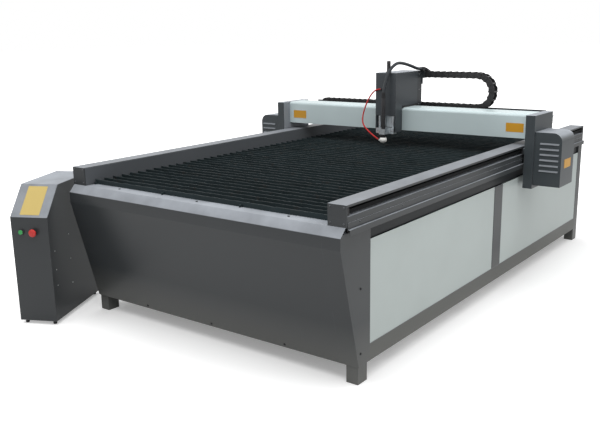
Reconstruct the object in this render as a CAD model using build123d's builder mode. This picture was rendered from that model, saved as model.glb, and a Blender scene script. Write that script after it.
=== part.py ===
# CNC plasma cutting table: a welded frame with a slatted bed, a gantry that runs along two side beams,
# a torch head that runs across the gantry, and a control cabinet that stands at the front left corner.
# Millimetres. +X runs across the table, +Y to the back and +Z up. The origin is on the floor, midway
# between the four legs.
from build123d import *
import os
from math import acos, cos, hypot, pi, radians, sin, tan

os.makedirs("parts", exist_ok=True)

# Table frame
frame_length = 2884.0  # front face of the front legs to back face of the back legs
frame_width = 1676.0  # outer face to outer face of the legs
table_height = 808.0  # floor to the top of the side beams
leg_x = 60.0
leg_y = 72.0
tube_wall = 4.0
foot_plate_t = 8.0
anchor_hole_d = 14.0
middle_post_y = 110.0
lower_rail_z = 80.0
lower_rail_h = 80.0
lower_rail_w = 40.0
upper_rail_h = 90.0
upper_rail_w = 50.0
bearer_size = 40.0
bed_bearers = 6
tray_bearers = 4
sheet_t = 2.0
cheek_back = 92.0  # front face of the legs to the cheek's back edge
cheek_clear = 3.0  # below the racks
panel_recess = 2.0

# Side beams with the guide rail slot on their outer side
beam_w = 92.0
beam_h = 92.0
beam_overhang = 12.0  # beyond the legs' outer faces
beam_front_reach = 104.0
beam_back_setback = 34.0
end_plate_t = 6.0
beam_cover_t = 3.0
beam_cover_lip = 10.0
slot_h = 37.0
slot_depth = 22.0
stop_length = 18.0
stop_clear = 2.0

# Linear guides: a 15 mm rail and the block that runs on it
rail_size = 15.0
rail_waist = 2.0
rail_groove = (0.3, 0.45, 0.6, 0.75)  # shares of the rail's height, from its seat
block_w = 34.0
block_length = 40.0
guide_height = 28.0  # rail seat to block face
block_lift = 4.3  # rail seat to the block's skirt
guide_clear = 0.3

# Gear racks and pinions
gear_module = 2.0
pinion_teeth = 20
pressure_angle = radians(20)
tooth_root = 1.25  # pitch line to root, in modules
flank_clear = 0.05
flank_steps = 5
rack_w = 11.0
rack_h = 24.0
rack_sections = 3
rack_end_gap = 8.0
rack_joint_gap = 0.4
shaft_d = 16.0
running_clear = 0.05
guard_reach = 12.0
guard_drop = 8.0
guard_leg = 28.0
guard_clear = 2.0

# Bed
slat_drop = 68.0  # beams' top down to the slats' top
slat_h = 70.0
slat_t = 4.0
slat_pitch = 58.0
slat_end_clear = 3.0
slat_lead = 68.0  # beams' front end to the first slat
slat_tail = 44.0
slat_slot_clear = 0.3
comb_count = 4
comb_t = 6.0
comb_below_top = 12.0
comb_seat = 14.0  # comb stock left under each slot
comb_end = 18.0
comb_inset = 12.0
tray_depth = 120.0
tray_side_gap = 23.0
tray_gap = 20.0

# Front apron
lip_run = 37.0
fascia_h = 51.0
apron_lap = 7.0  # beyond the legs' outer faces
flange_gap = 4.0  # level flange to the combs
flange_end_gap = 3.0  # and to the beams
apron_bottom_z = 82.0
apron_foot_gap = 2.0
screw_head_r = 6.0
screw_head_h = 3.0
screw_taper = 20.0
screw_edge = 16.0
flange_screw_edge = 10.0
screw_columns = 3
flange_screw_pitch = 535.0
foot_screw_pitch = 450.0
cheek_screw_heights = (0.195, 0.6)  # shares of the height under the beams

# Gantry, drawn where the photograph shows it
upright_gap = 18.0  # beam's outer face to the upright
upright_w = 55.0
upright_front = 268.0
upright_depth = 288.0
upright_drop = 239.0  # beams' top down to the uprights' lower end
gantry_rise = 180.0  # beams' top up to the gantry's top
upright_wall = 6.0
pad_inset = 10.0
pad_h = 32.0
block_inset = 45.0
drive_inset = 117.0
bearing_sleeve_d = 36.0
hood_setback = 67.0
hood_depth = 162.0
hood_rise = 37.0  # beams' top up to the hood's lower edge
hood_t = 2.0
hood_edge_r = 18.0
hood_return = 38.0
beam_wall = 6.0
cross_rail_inset = 24.0

# Gearmotors and their covers
gearbox_size = 62.0
gearbox_length = 48.0
motor_size = 58.0
motor_length = 76.0
motor_corner = 12  # a motor's width over the chamfer on its corners
shaft_entry = 21.0
cover_w = 156.0
cover_setback = 10.0
cover_depth = 212.0
cover_drop = 218.0  # beams' top down to the covers' bottom
cover_rise = 87.0  # and up to their top
cover_t = 2.0
cover_round = 50.0
louver_count = 6
louver_pitch = 31.0
louver_length = 108.0
louver_side = 15.0  # covers' outer sides to the louvres' ends
louver_h = 9.0
louver_lift = 6.0
louver_inset = 58.0
louver_sheet = 1.4
plate_t = 1.0
beam_plate = (108.0, 52.0)
beam_plate_end = 35.0
beam_plate_rise = 61.0  # hood's lower edge to the plate's middle
cover_plate = (108.0, 50.0)
cover_plate_at = 0.52  # share of the cover's depth

# Drag chain
chain_w = 56.0
chain_h = 42.0
chain_wall = 4.0
chain_pitch = 44.0
chain_radius = 101.0
chain_gap = 0.4
upper_links = 9
chain_anchor_gap = 70.0  # tray's end to the chain's fixed end
bend_links = 7
chain_end_side = 57.5  # middle of the head to the chain's moving end
chain_back_clear = 9.0  # head's back cover to the chain
tray_t = 2.5
tray_lift = 34.0  # gantry's top down to the tray
chain_tray_side = 4.0
chain_tray_lip = 25.0
tray_flange = 40.0
tray_foot_t = 3.0
tray_end_gap = 20.0

# Torch head, all of it set out from the beam hood
head_x = -37.5  # middle of the head at rest
head_w = 145.0
head_overhang = 88.0  # ahead of the hood's front
seam_setback = 32.0  # behind the hood's back
head_tail = 88.0
head_rise = 220.0  # gantry's top to the head's top
head_over_beam = 6.0
flap_drop = 7.0
front_drop = 48.0
head_beam_gap = 5.0
seam_gap = 0.3
saddle_back_t = 14.0
saddle_front_t = 12.0
saddle_front_gap = 7.0
saddle_lift = 12.0
shelf_t = 10.0
shelf_inset = 10.0
saddle_inset = 5.0
saddle_drop = 58.0
head_block_spread = 48.0
pinion_window = 27.0
window_drop = 16.0
head_motor_size = 57.0
head_motor_length = 90.0
cross_shaft_d = 14.0

# Torch lift
rod_d = 16.0
rod_spread = 50.0
rod_lead = 26.0  # rods' axes ahead of the screw
rod_wall = 11.0  # and to the front of what holds them
lift_gap = 28.0  # saddle's front plate to the screw's axis
lift_half_w = 64.0
bush_h = 45.0
bush_drop = 3.0
motor_plate_half = 23.0
crosshead_lift = 37.0
crosshead_h = 20.0
crosshead_back = 20.0  # behind the screw's axis
clamp_drop = 15.0
clamp_h = 34.0
clamp_front = 20.0  # ahead of the torch's axis
clamp_grip_half = 22.0  # to each side of the torch's axis
clamp_bar = (26.0, 16.0)  # ahead of the rods' axes and behind them
clamp_edge_r = 4.0
lift_plate_rise = 124.0
lift_plate_t = 8.0
lift_motor_size = 42.0
lift_motor_length = 50.0
screw_d = 12.0
screw_entry = 11.0

# Torch
torch_side = 12.5  # right of the head's middle
torch_ahead = 47.0  # ahead of the housing
torch_gap = 33.0  # slats to the torch's tip at rest
barrel_d = 24.0
barrel_seat = 32.0  # tip to the barrel's lower end
barrel_rise = 72.0  # gantry's top to the barrel's top
cap_d = 46.0
cap_cone_h = 10.0
cap_body_h = 32.0
cap_neck_h = 7.0
cap_tip_d = 26.0
cap_top_d = 36.0
nipple_d = 10.0
nipple_length = 9.0
nipple_seat = 6.0  # into the cap's side
nipple_rise = 16.0
nipple_tilt = 28.0  # up from level
arc_share = 0.45  # of the shorter run beside each corner of a cord
lead_d = 20.0
lead_start = 30.0  # straight run out of the barrel
hose_d = 9.0
hose_start = 25.0  # straight run out of the elbow
hose_end = 28.0  # straight run into the nipple
elbow_w = 14.0
elbow_side = 21.5  # left of the head's middle
elbow_drop = 102.0
post_d = 24.0
post_side = 11.5
post_setback = 15.0
post_h = 73.0
post_foot_d = 34.0
post_foot_h = 8.0
relief_side = 67.5
relief_w = 26.0
relief_size = 24.0
relief_lift = 1.0
relief_run = 33.0  # straight run into the strain relief

# Control cabinet
cabinet_side_gap = 80.0  # legs' outer face to the middle of the cabinet's front
cabinet_lead = 347.0  # and ahead of the legs
cabinet_turn = 26.2
cabinet_w = 205.0
cabinet_depth = 517.0
cabinet_height = 722.0
cabinet_front_h = 576.0
cabinet_slope_run = 137.0
cabinet_floor = 20.0
cabinet_foot_d = 20.0
cabinet_foot_inset = 24.0
button_z = 499.0
start_x = -46.5
stop_x = 23.5
collar_d = 30.0
collar_h = 9.0
collar_floor = 1.5
sleeve_d = 22.0
sleeve_length = 20.0
stem_r = 7.9
cap_r = 11.5
button_clear = 0.1
button_travel = 5.0
start_proud = 4.0
stop_d = 40.0
stop_head = 12.0
stop_lift = 6.0  # collar's face to the back of the mushroom head
stop_dome = 5.0
yellow_plate = (107.0, 172.0)
yellow_plate_r = 9.0
door_gap = 0.5
hinge_r = 5.0
hinge_pin_r = 2.5
hinge_z = (120.0, 560.0)
knuckle_h = 30.0
knuckle_gap = 0.3
hinge_leaf = 30.0
lock_x = 70.0
lock_z = 370.0
lock_knob_d = 26.0
lock_knob_h = 8.0
lock_shaft_r = 6.0
lock_reach = 28.0
lock_cam_w = 14.0
lock_cam_t = 4.0
lock_back = 6.5
flange_w = 22.0
mount_plate_y = 250.0
mount_plate_z = (60.0, 650.0)
module_size = (52.0, 42.0, 130.0)
module_pitch = 62.0
module_z = 420.0
supply_size = (150.0, 70.0, 100.0)

# Places worked out from the sizes above
half_w = frame_width / 2
half_l = frame_length / 2
leg_in = half_w - leg_x
leg_mid_x = half_w - leg_x / 2
leg_mid_y = half_l - leg_y / 2
beam_z = table_height - beam_h
beam_out = half_w + beam_overhang
beam_in = beam_out - beam_w
beam_front = -half_l - beam_front_reach
beam_back = half_l - beam_back_setback
tube_y = (beam_front + end_plate_t, beam_back - end_plate_t)
slat_top = table_height - slat_drop
first_slat_y = beam_front + slat_lead
slat_count = int((beam_back - slat_tail - first_slat_y) / slat_pitch) + 1
last_slat_y = first_slat_y + (slat_count - 1) * slat_pitch
outer_comb_x = beam_in - slat_end_clear - comb_inset
tray_half_w = beam_in - tray_side_gap
apron_half_w = half_w + apron_lap
flange_half_w = beam_in - flange_end_gap
flange_back = beam_front + slat_lead - comb_end - flange_gap
upright_bottom = table_height - upright_drop
gantry_top = table_height + gantry_rise
hood_bottom = table_height + hood_rise
cover_bottom = table_height - cover_drop
cover_top = table_height + cover_rise
slot_top = table_height - beam_cover_lip
slot_z = (slot_top - slot_h, slot_top)
rail_x = beam_out - slot_depth
rail_z = (slot_z[0] + slot_z[1]) / 2
side_rail_y = (tube_y[0] + stop_length, tube_y[1] - stop_length)
upright_x = (beam_out + upright_gap, beam_out + upright_gap + upright_w)
upright_y = (upright_front, upright_front + upright_depth)
block_face_x = rail_x + guide_height
drive_y = upright_front + drive_inset
pinion_r = gear_module * pinion_teeth / 2
tooth_pitch = pi * gear_module
rack_x = (beam_out - rack_w, beam_out)
drive_z = beam_z - rack_h + gear_module - pinion_r
rack_lead_teeth = int((drive_y - tube_y[0] - rack_end_gap) / tooth_pitch)
rack_front = drive_y - rack_lead_teeth * tooth_pitch
rack_section_teeth = int((tube_y[1] - rack_end_gap - rack_front) / tooth_pitch / rack_sections)
hood_y = (upright_front + hood_setback, upright_front + hood_setback + hood_depth)
hood_z = (hood_bottom, gantry_top)
tube_front = hood_y[0] + hood_t
tube_back = hood_y[1] - hood_t
tube_z = (hood_bottom + hood_t, gantry_top - hood_t)
cross_rail_z = (tube_z[0] + cross_rail_inset, tube_z[1] - cross_rail_inset)
cross_rack_z = (sum(cross_rail_z) - rack_w) / 2
cross_block_y = tube_back + guide_height
cross_drive_y = tube_back + rack_h - gear_module + pinion_r
head_front = hood_y[0] - head_overhang
head_seam = hood_y[1] + seam_setback
head_back = hood_y[1] + head_tail
head_top = gantry_top + head_rise
head_side_bottom = hood_bottom - flap_drop
head_front_bottom = gantry_top - front_drop
head_side = (head_x - head_w / 2, head_x + head_w / 2)
head_inner = (head_side[0] + sheet_t, head_side[1] - sheet_t)
shelf_z = (gantry_top + saddle_lift, gantry_top + saddle_lift + shelf_t)
shelf_back = head_back - shelf_inset
saddle_front_y = (hood_y[0] - saddle_front_gap - saddle_front_t, hood_y[0] - saddle_front_gap)
saddle_bottom = hood_bottom + saddle_inset
saddle_top = head_top - saddle_drop
window_bottom = cross_rack_z - window_drop
lift_y = saddle_front_y[0] - lift_gap
rod_y = lift_y - rod_lead
rod_front = rod_y - rod_wall
bush_block = (gantry_top - bush_drop - bush_h, gantry_top - bush_drop)
crosshead = (gantry_top + crosshead_lift, gantry_top + crosshead_lift + crosshead_h)
clamp = (hood_bottom - clamp_drop, hood_bottom - clamp_drop + clamp_h)
lift_plate = (gantry_top + lift_plate_rise, gantry_top + lift_plate_rise + lift_plate_t)
torch_x = head_x + torch_side
torch_y = head_front - torch_ahead
cap_bottom = slat_top + torch_gap
cap_shoulder = cap_bottom + cap_cone_h
cap_rim = cap_shoulder + cap_body_h
cap_top = cap_rim + cap_neck_h
nipple_root = Vector(torch_x - cap_d / 2, torch_y, cap_bottom + nipple_rise)
nipple_dir = Vector(-cos(radians(nipple_tilt)), 0, sin(radians(nipple_tilt)))
nipple_tip = nipple_root + nipple_dir * nipple_length
barrel_bottom = cap_bottom + barrel_seat
barrel_top = gantry_top + barrel_rise
post_x = head_x + post_side
post_y = head_front + post_setback
relief_x = (head_x + relief_side, head_x + relief_side + relief_w)
chain_y = (head_back + chain_back_clear, head_back + chain_back_clear + chain_w)
chain_tray_z = (gantry_top - tray_lift + tray_t, gantry_top - tray_lift + 2 * tray_t)
lower_z = chain_tray_z[1] + chain_gap + chain_h / 2
upper_z = lower_z + 2 * chain_radius
chain_end_x = head_x + chain_end_side
bend_x = chain_end_x + upper_links * chain_pitch
tray_reach = upright_x[0] - tray_end_gap
lower_links = int((bend_x + tray_reach - chain_anchor_gap) / chain_pitch)
chain_fixed_x = bend_x - lower_links * chain_pitch
bearer_z = (slat_top - slat_h - comb_seat - bearer_size, slat_top - slat_h - comb_seat)


def block(x, y, z, mode=Mode.ADD):
    """Box between two corners, each axis given as a (low, high) pair."""
    with Locations(((x[0] + x[1]) / 2, (y[0] + y[1]) / 2, (z[0] + z[1]) / 2)):
        Box(x[1] - x[0], y[1] - y[0], z[1] - z[0], mode=mode)


def square_tube(x, y, z, wall, along):
    """Open-ended rectangular tube between two corners that runs along one axis."""
    spans = [x, y, z]
    hollow = [(low + wall, high - wall) for low, high in spans]
    run = "XYZ".index(along)
    hollow[run] = spans[run]
    block(x, y, z)
    block(*hollow, mode=Mode.SUBTRACT)


def folded(points, thickness):
    """Outline of a folded sheet: a line, and the same line moved to its left by the sheet's thickness."""
    normals = []
    for start, end in zip(points, points[1:]):
        run = hypot(end[0] - start[0], end[1] - start[1])
        normals.append((-(end[1] - start[1]) / run, (end[0] - start[0]) / run))
    inner = []
    for index, point in enumerate(points):
        before = normals[max(index - 1, 0)]
        after = normals[min(index, len(normals) - 1)]
        share = thickness / (1 + before[0] * after[0] + before[1] * after[1])
        inner.append((point[0] + share * (before[0] + after[0]), point[1] + share * (before[1] + after[1])))
    return inner


def rail_outline():
    """Guide rail section as (height above the seat, sideways) points, with its two ball grooves."""
    half = rail_size / 2
    waist = half - rail_waist
    heights = [0, *[share * rail_size for share in rail_groove], rail_size]
    sides = [half, half, waist, waist, half, half]
    right = list(zip(heights, sides))
    left = [(height, -side) for height, side in reversed(right)]
    return right + left


def rack_outline(start, teeth):
    """Rack section as (place along the rack, height above its back) points; it starts in mid-gap."""
    root_half = tooth_pitch / 4 - flank_clear + tooth_root * gear_module * tan(pressure_angle)
    tip_half = tooth_pitch / 4 - flank_clear - gear_module * tan(pressure_angle)
    root = rack_h - (1 + tooth_root) * gear_module
    points = [(start, 0), (start, root)]
    for tooth in range(teeth):
        middle = start + (tooth + 0.5) * tooth_pitch
        points += [(middle - root_half, root), (middle - tip_half, rack_h)]
        points += [(middle + tip_half, rack_h), (middle + root_half, root)]
    end = start + teeth * tooth_pitch
    return points + [(end, root), (end, 0)]


def pinion_outline():
    """Involute pinion section about its own axis, with a tooth on each of the four half-axes."""
    base_r = pinion_r * cos(pressure_angle)
    tip_r = pinion_r + gear_module
    root_r = pinion_r - tooth_root * gear_module
    half_at_pitch = pi / (2 * pinion_teeth) - flank_clear / pinion_r
    involute_at_pitch = tan(pressure_angle) - pressure_angle
    flank = []
    for step in range(flank_steps + 1):
        radius = base_r + (tip_r - base_r) * step / flank_steps
        roll = acos(min(1.0, base_r / radius))
        flank.append((radius, half_at_pitch + involute_at_pitch - (tan(roll) - roll)))
    flank.insert(0, (root_r, flank[0][1]))
    points = []
    for tooth in range(pinion_teeth):
        middle = 2 * pi * tooth / pinion_teeth
        near = [(radius, middle - half) for radius, half in flank]
        far = [(radius, middle + half) for radius, half in reversed(flank)]
        points += [(radius * cos(angle), radius * sin(angle)) for radius, angle in near + far]
    return points


def cord_radii(points, name):
    """Bend radius at each inner point of a cord's route: as large as its two runs allow."""
    spots = [Vector(*point) for point in points]
    radii = []
    for before, here, after in zip(spots, spots[1:], spots[2:]):
        turn = radians((here - before).get_angle(after - here))
        radii.append(arc_share * min((here - before).length, (after - here).length) / tan(turn / 2))
    print(name, "bend radii", [round(radius, 1) for radius in radii])
    return radii


def cord(points, diameter, name):
    """Round cord along straight runs joined by tangent arcs."""
    with BuildLine():
        route = FilletPolyline(*points, radius=cord_radii(points, name))
    with BuildSketch(Plane(origin=route @ 0, z_dir=route % 0)) as section:
        Circle(diameter / 2)
    swept = sweep(section.sketch, path=route)
    fill = swept.volume / (pi * diameter**2 / 4 * route.length)
    print(name, "length", round(route.length, 1), "volume over section times length", round(fill, 4))


# Four legs with foot plates drilled for floor anchors, and a wider middle post on each side.
with BuildPart() as frame_posts:
    for side_y in (-leg_mid_y, leg_mid_y):
        leg_span = (side_y - leg_y / 2, side_y + leg_y / 2)
        square_tube((leg_in, half_w), leg_span, (0, beam_z), tube_wall, "Z")
        block((leg_in, half_w), leg_span, (0, foot_plate_t))
        with Locations((leg_mid_x, side_y, foot_plate_t)):
            Hole(anchor_hole_d / 2, depth=foot_plate_t)
    post_span = (-middle_post_y / 2, middle_post_y / 2)
    post_z = (lower_rail_z + lower_rail_h, beam_z - upper_rail_h)
    square_tube((leg_in, half_w), post_span, post_z, tube_wall, "Z")
    mirror(about=Plane.YZ)
frame_posts.part.label = "frame_posts"
export_step(frame_posts.part, "parts/frame_posts.step")

# Side rails between the legs, high and low, and a low rail across each end.
with BuildPart() as frame_rails:
    between_legs = (-half_l + leg_y, half_l - leg_y)
    upper_x = (leg_in, leg_in + upper_rail_w)
    square_tube(upper_x, between_legs, (beam_z - upper_rail_h, beam_z), tube_wall, "Y")
    lower_z_span = (lower_rail_z, lower_rail_z + lower_rail_h)
    square_tube((half_w - lower_rail_w, half_w), between_legs, lower_z_span, tube_wall, "Y")
    mirror(about=Plane.YZ)
    for end_y in (-half_l, half_l - lower_rail_w):
        square_tube((-leg_in, leg_in), (end_y, end_y + lower_rail_w), lower_z_span, tube_wall, "X")
frame_rails.part.label = "frame_rails"
export_step(frame_rails.part, "parts/frame_rails.step")

# Cross bearers: six under the bed and four under the slag trays.
with BuildPart() as cross_bearers:
    bed_step = (frame_length - bearer_size) / (bed_bearers - 1)
    for index in range(bed_bearers):
        bearer_y = -half_l + index * bed_step
        bearer_span = (bearer_y, bearer_y + bearer_size)
        square_tube((-leg_in, leg_in), bearer_span, bearer_z, tube_wall, "X")
    tray_step = frame_length / tray_bearers
    low_reach = half_w - lower_rail_w
    low_z = (lower_rail_z + lower_rail_h - bearer_size, lower_rail_z + lower_rail_h)
    for index in range(tray_bearers):
        bearer_y = -half_l + (index + 0.5) * tray_step
        bearer_span = (bearer_y - bearer_size / 2, bearer_y + bearer_size / 2)
        square_tube((-low_reach, low_reach), bearer_span, low_z, tube_wall, "X")
cross_bearers.part.label = "cross_bearers"
export_step(cross_bearers.part, "parts/cross_bearers.step")

# White cladding: two sheets on each side and one across the back, set just inside the frame's faces.
with BuildPart() as frame_panels:
    panel_x = (half_w - panel_recess - sheet_t, half_w - panel_recess)
    panel_z = (lower_rail_z + lower_rail_h, beam_z - upper_rail_h)
    block(panel_x, (-half_l + leg_y, -middle_post_y / 2), panel_z)
    block(panel_x, (middle_post_y / 2, half_l - leg_y), panel_z)
    mirror(about=Plane.YZ)
    rear_y = (half_l - panel_recess - sheet_t, half_l - panel_recess)
    block((-leg_in, leg_in), rear_y, (panel_z[0], bearer_z[0]))
frame_panels.part.label = "frame_panels"
export_step(frame_panels.part, "parts/frame_panels.step")

# Front apron: one sheet folded into a level flange between the beams, a lip at 45 degrees, a short upright
# fascia and a panel that leans in.
apron_line = [
    (beam_front, beam_z),
    (beam_front - lip_run, beam_z - lip_run),
    (beam_front - lip_run, beam_z - lip_run - fascia_h),
    (-half_l - apron_foot_gap - sheet_t, apron_bottom_z),
]
apron_inner = folded(apron_line, sheet_t)
with BuildPart() as front_apron:
    with BuildSketch(Plane.YZ.offset(-apron_half_w)):
        with BuildLine():
            Polyline(*apron_line, *reversed(apron_inner), close=True)
        make_face()
    extrude(amount=2 * apron_half_w)
    block((-flange_half_w, flange_half_w), (beam_front, flange_back), (beam_z - sheet_t, beam_z))
front_apron.part.label = "front_apron"
export_step(front_apron.part, "parts/front_apron.step")

# Apron cheeks: side sheets that close the apron's ends and lap over the front legs.
with BuildPart() as apron_cheeks:
    with BuildSketch(Plane.YZ.offset(half_w)):
        with BuildLine():
            cheek_y = -half_l + cheek_back
            cheek_top = beam_z - rack_h - cheek_clear
            lip_y = apron_inner[0][0] - (apron_inner[0][1] - cheek_top)
            Polyline(
                (lip_y, cheek_top),
                *apron_inner[1:],
                (cheek_y, apron_bottom_z),
                (cheek_y, cheek_top),
                close=True,
            )
        make_face()
    extrude(amount=sheet_t)
    mirror(about=Plane.YZ)
apron_cheeks.part.label = "apron_cheeks"
export_step(apron_cheeks.part, "parts/apron_cheeks.step")

# Side beams: welded hollow sections with a step on the outer side for the guide rail.
with BuildPart() as side_beams:
    with BuildSketch(Plane.XZ.offset(-tube_y[1])):
        with BuildLine():
            top = table_height - beam_cover_t
            Polyline(
                (beam_in, beam_z),
                (beam_out, beam_z),
                (beam_out, slot_z[0]),
                (rail_x, slot_z[0]),
                (rail_x, top),
                (beam_in, top),
                close=True,
            )
        make_face()
        offset(amount=-tube_wall, kind=Kind.INTERSECTION, mode=Mode.SUBTRACT)
    extrude(amount=tube_y[1] - tube_y[0])
    mirror(about=Plane.YZ)
side_beams.part.label = "side_beams"
export_step(side_beams.part, "parts/side_beams.step")

# Beam covers: folded sheet on top of each beam, with a lip that hangs over the guide rail.
with BuildPart() as beam_covers:
    block((beam_in, beam_out), tube_y, (table_height - beam_cover_t, table_height))
    block((beam_out - beam_cover_t, beam_out), tube_y, (slot_top, table_height))
    mirror(about=Plane.YZ)
beam_covers.part.label = "beam_covers"
export_step(beam_covers.part, "parts/beam_covers.step")

# Plates that close both ends of both beams.
with BuildPart() as beam_end_plates:
    block((beam_in, beam_out), (beam_front, tube_y[0]), (beam_z, table_height))
    block((beam_in, beam_out), (tube_y[1], beam_back), (beam_z, table_height))
    mirror(about=Plane.YZ)
beam_end_plates.part.label = "beam_end_plates"
export_step(beam_end_plates.part, "parts/beam_end_plates.step")

# Linear guide rails in the beams' outer slots.
with BuildPart() as side_rails:
    with BuildSketch(Plane.XZ.offset(-side_rail_y[1])):
        with BuildLine():
            Polyline(*[(rail_x + height, rail_z + side) for height, side in rail_outline()], close=True)
        make_face()
    extrude(amount=side_rail_y[1] - side_rail_y[0])
    mirror(about=Plane.YZ)
side_rails.part.label = "side_rails"
export_step(side_rails.part, "parts/side_rails.step")

# Rubber stops at both ends of each rail.
with BuildPart() as rail_stops:
    stop_z = (slot_z[0] + stop_clear, slot_z[1] - stop_clear)
    block((rail_x, beam_out - stop_clear), (tube_y[0], side_rail_y[0]), stop_z)
    block((rail_x, beam_out - stop_clear), (side_rail_y[1], tube_y[1]), stop_z)
    mirror(about=Plane.YZ)
rail_stops.part.label = "rail_stops"
export_step(rail_stops.part, "parts/rail_stops.step")

# Gear racks under the side beams, teeth down, each in three sections.
with BuildPart() as side_racks:
    section_length = rack_section_teeth * tooth_pitch
    for section in range(rack_sections):
        start_y = rack_front + section * section_length
        with BuildSketch(Plane.YZ.offset(rack_x[0])):
            with BuildLine():
                section_points = rack_outline(start_y, rack_section_teeth)
                trim = rack_joint_gap / 2
                section_points[0] = (start_y + trim, 0)
                section_points[1] = (start_y + trim, section_points[1][1])
                section_points[-1] = (start_y + section_length - trim, 0)
                section_points[-2] = (start_y + section_length - trim, section_points[-2][1])
                Polyline(*[(along, beam_z - height) for along, height in section_points], close=True)
            make_face()
        extrude(amount=rack_w)
    mirror(about=Plane.YZ)
side_racks.part.label = "side_racks"
export_step(side_racks.part, "parts/side_racks.step")

# Rack guards: folded strips screwed to the beams' outer faces, with a skirt outside the rack.
with BuildPart() as rack_guards:
    guard_top = beam_z - guard_drop
    guard_line = [
        (beam_out, guard_top + guard_leg),
        (beam_out, guard_top - sheet_t),
        (beam_out + guard_reach - sheet_t, guard_top - sheet_t),
        (beam_out + guard_reach - sheet_t, drive_z + shaft_d / 2 + guard_clear),
    ]
    with BuildSketch(Plane.XZ.offset(-tube_y[1])):
        with BuildLine():
            Polyline(*guard_line, *reversed(folded(guard_line, sheet_t)), close=True)
        make_face()
    extrude(amount=tube_y[1] - tube_y[0])
    mirror(about=Plane.YZ)
rack_guards.part.label = "rack_guards"
export_step(rack_guards.part, "parts/rack_guards.step")

# Slat combs: upright strips with a slot for each slat, standing on the cross bearers.
with BuildPart() as slat_combs:
    slot_bottom = slat_top - slat_h
    comb_top = slat_top - comb_below_top
    comb_points = [(first_slat_y - comb_end, comb_top)]
    for index in range(slat_count):
        near = first_slat_y + index * slat_pitch - slat_t / 2 - slat_slot_clear
        far = near + slat_t + 2 * slat_slot_clear
        comb_points += [(near, comb_top), (near, slot_bottom), (far, slot_bottom), (far, comb_top)]
    comb_points.append((last_slat_y + comb_end, comb_top))
    comb_points.append((last_slat_y + comb_end, bearer_z[1]))
    comb_points.append((first_slat_y - comb_end, bearer_z[1]))
    for index in range(comb_count):
        comb_x = (2 * index / (comb_count - 1) - 1) * outer_comb_x
        with BuildSketch(Plane.YZ.offset(comb_x - comb_t / 2)):
            with BuildLine():
                Polyline(*comb_points, close=True)
            make_face()
        extrude(amount=comb_t)
slat_combs.part.label = "slat_combs"
export_step(slat_combs.part, "parts/slat_combs.step")

# Bed slats: plain steel strips on edge across the table.
with BuildPart() as bed_slats:
    slat_mid_y = (first_slat_y + last_slat_y) / 2
    with Locations((0, slat_mid_y, slat_top - slat_h / 2)):
        with GridLocations(0, slat_pitch, 1, slat_count):
            Box(2 * (beam_in - slat_end_clear), slat_t, slat_h)
bed_slats.part.label = "bed_slats"
export_step(bed_slats.part, "parts/bed_slats.step")

# Slag trays: two open pans on the low bearers.
with BuildPart() as slag_trays:
    pan_z = (lower_rail_z + lower_rail_h, lower_rail_z + lower_rail_h + tray_depth)
    pan_out = half_l - lower_rail_w - tray_gap / 2
    for pan_y in ((-pan_out, -tray_gap / 2), (tray_gap / 2, pan_out)):
        block((-tray_half_w, tray_half_w), pan_y, pan_z)
        pan_x = (-tray_half_w + sheet_t, tray_half_w - sheet_t)
        inside_y = (pan_y[0] + sheet_t, pan_y[1] - sheet_t)
        block(pan_x, inside_y, (pan_z[0] + sheet_t, pan_z[1]), mode=Mode.SUBTRACT)
slag_trays.part.label = "slag_trays"
export_step(slag_trays.part, "parts/slag_trays.step")

# Dome-headed screws along the apron's flange, the panel's lower edge and the cheeks.
with BuildPart() as panel_screws:
    flange_plane = Plane(origin=(0, flange_back - flange_screw_edge, beam_z), z_dir=(0, 0, 1))
    panel_run = (Vector(0, *apron_line[3]) - Vector(0, *apron_line[2])).normalized()
    panel_normal = Vector(1, 0, 0).cross(panel_run) * -1
    panel_foot = Vector(0, *apron_line[3]) - panel_run * screw_edge
    panel_plane = Plane(origin=panel_foot, x_dir=(1, 0, 0), z_dir=panel_normal)
    for screw_plane, pitch in ((flange_plane, flange_screw_pitch), (panel_plane, foot_screw_pitch)):
        with BuildSketch(screw_plane):
            with GridLocations(pitch, 0, screw_columns, 1):
                Circle(screw_head_r)
        extrude(amount=screw_head_h, taper=screw_taper)
    cheek_screws = [(-half_l + screw_edge, share * beam_z) for share in cheek_screw_heights]
    for side in (1, -1):
        cheek_face = (side * (half_w + sheet_t), 0, 0)
        with BuildSketch(Plane(origin=cheek_face, x_dir=(0, side, 0), z_dir=(side, 0, 0))):
            with Locations(*[(side * y, z) for y, z in cheek_screws]):
                Circle(screw_head_r)
        extrude(amount=screw_head_h, taper=screw_taper)
panel_screws.part.label = "panel_screws"
export_step(panel_screws.part, "parts/panel_screws.step")

# Gantry uprights: hollow box legs outside the beams, with a pad for the guide blocks and a bearing sleeve.
with BuildPart() as gantry_uprights:
    wall = upright_wall
    block(upright_x, upright_y, (upright_bottom, gantry_top))
    block(
        (upright_x[0] + wall, upright_x[1] - wall),
        (upright_y[0] + wall, upright_y[1] - wall),
        (upright_bottom, gantry_top - wall),
        mode=Mode.SUBTRACT,
    )
    pad_y = (upright_y[0] + pad_inset, upright_y[1] - pad_inset)
    block((block_face_x, upright_x[0]), pad_y, (rail_z - pad_h / 2, rail_z + pad_h / 2))
    with BuildSketch(Plane.YZ.offset(upright_x[0])):
        with Locations((drive_y, drive_z)):
            Circle(bearing_sleeve_d / 2)
    extrude(amount=upright_w)
    with BuildSketch(Plane.YZ.offset(upright_x[0])):
        with Locations((drive_y, drive_z)):
            Circle(shaft_d / 2 + running_clear)
    extrude(amount=upright_w, mode=Mode.SUBTRACT)
    mirror(about=Plane.YZ)
gantry_uprights.part.label = "gantry_uprights"
export_step(gantry_uprights.part, "parts/gantry_uprights.step")

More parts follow.
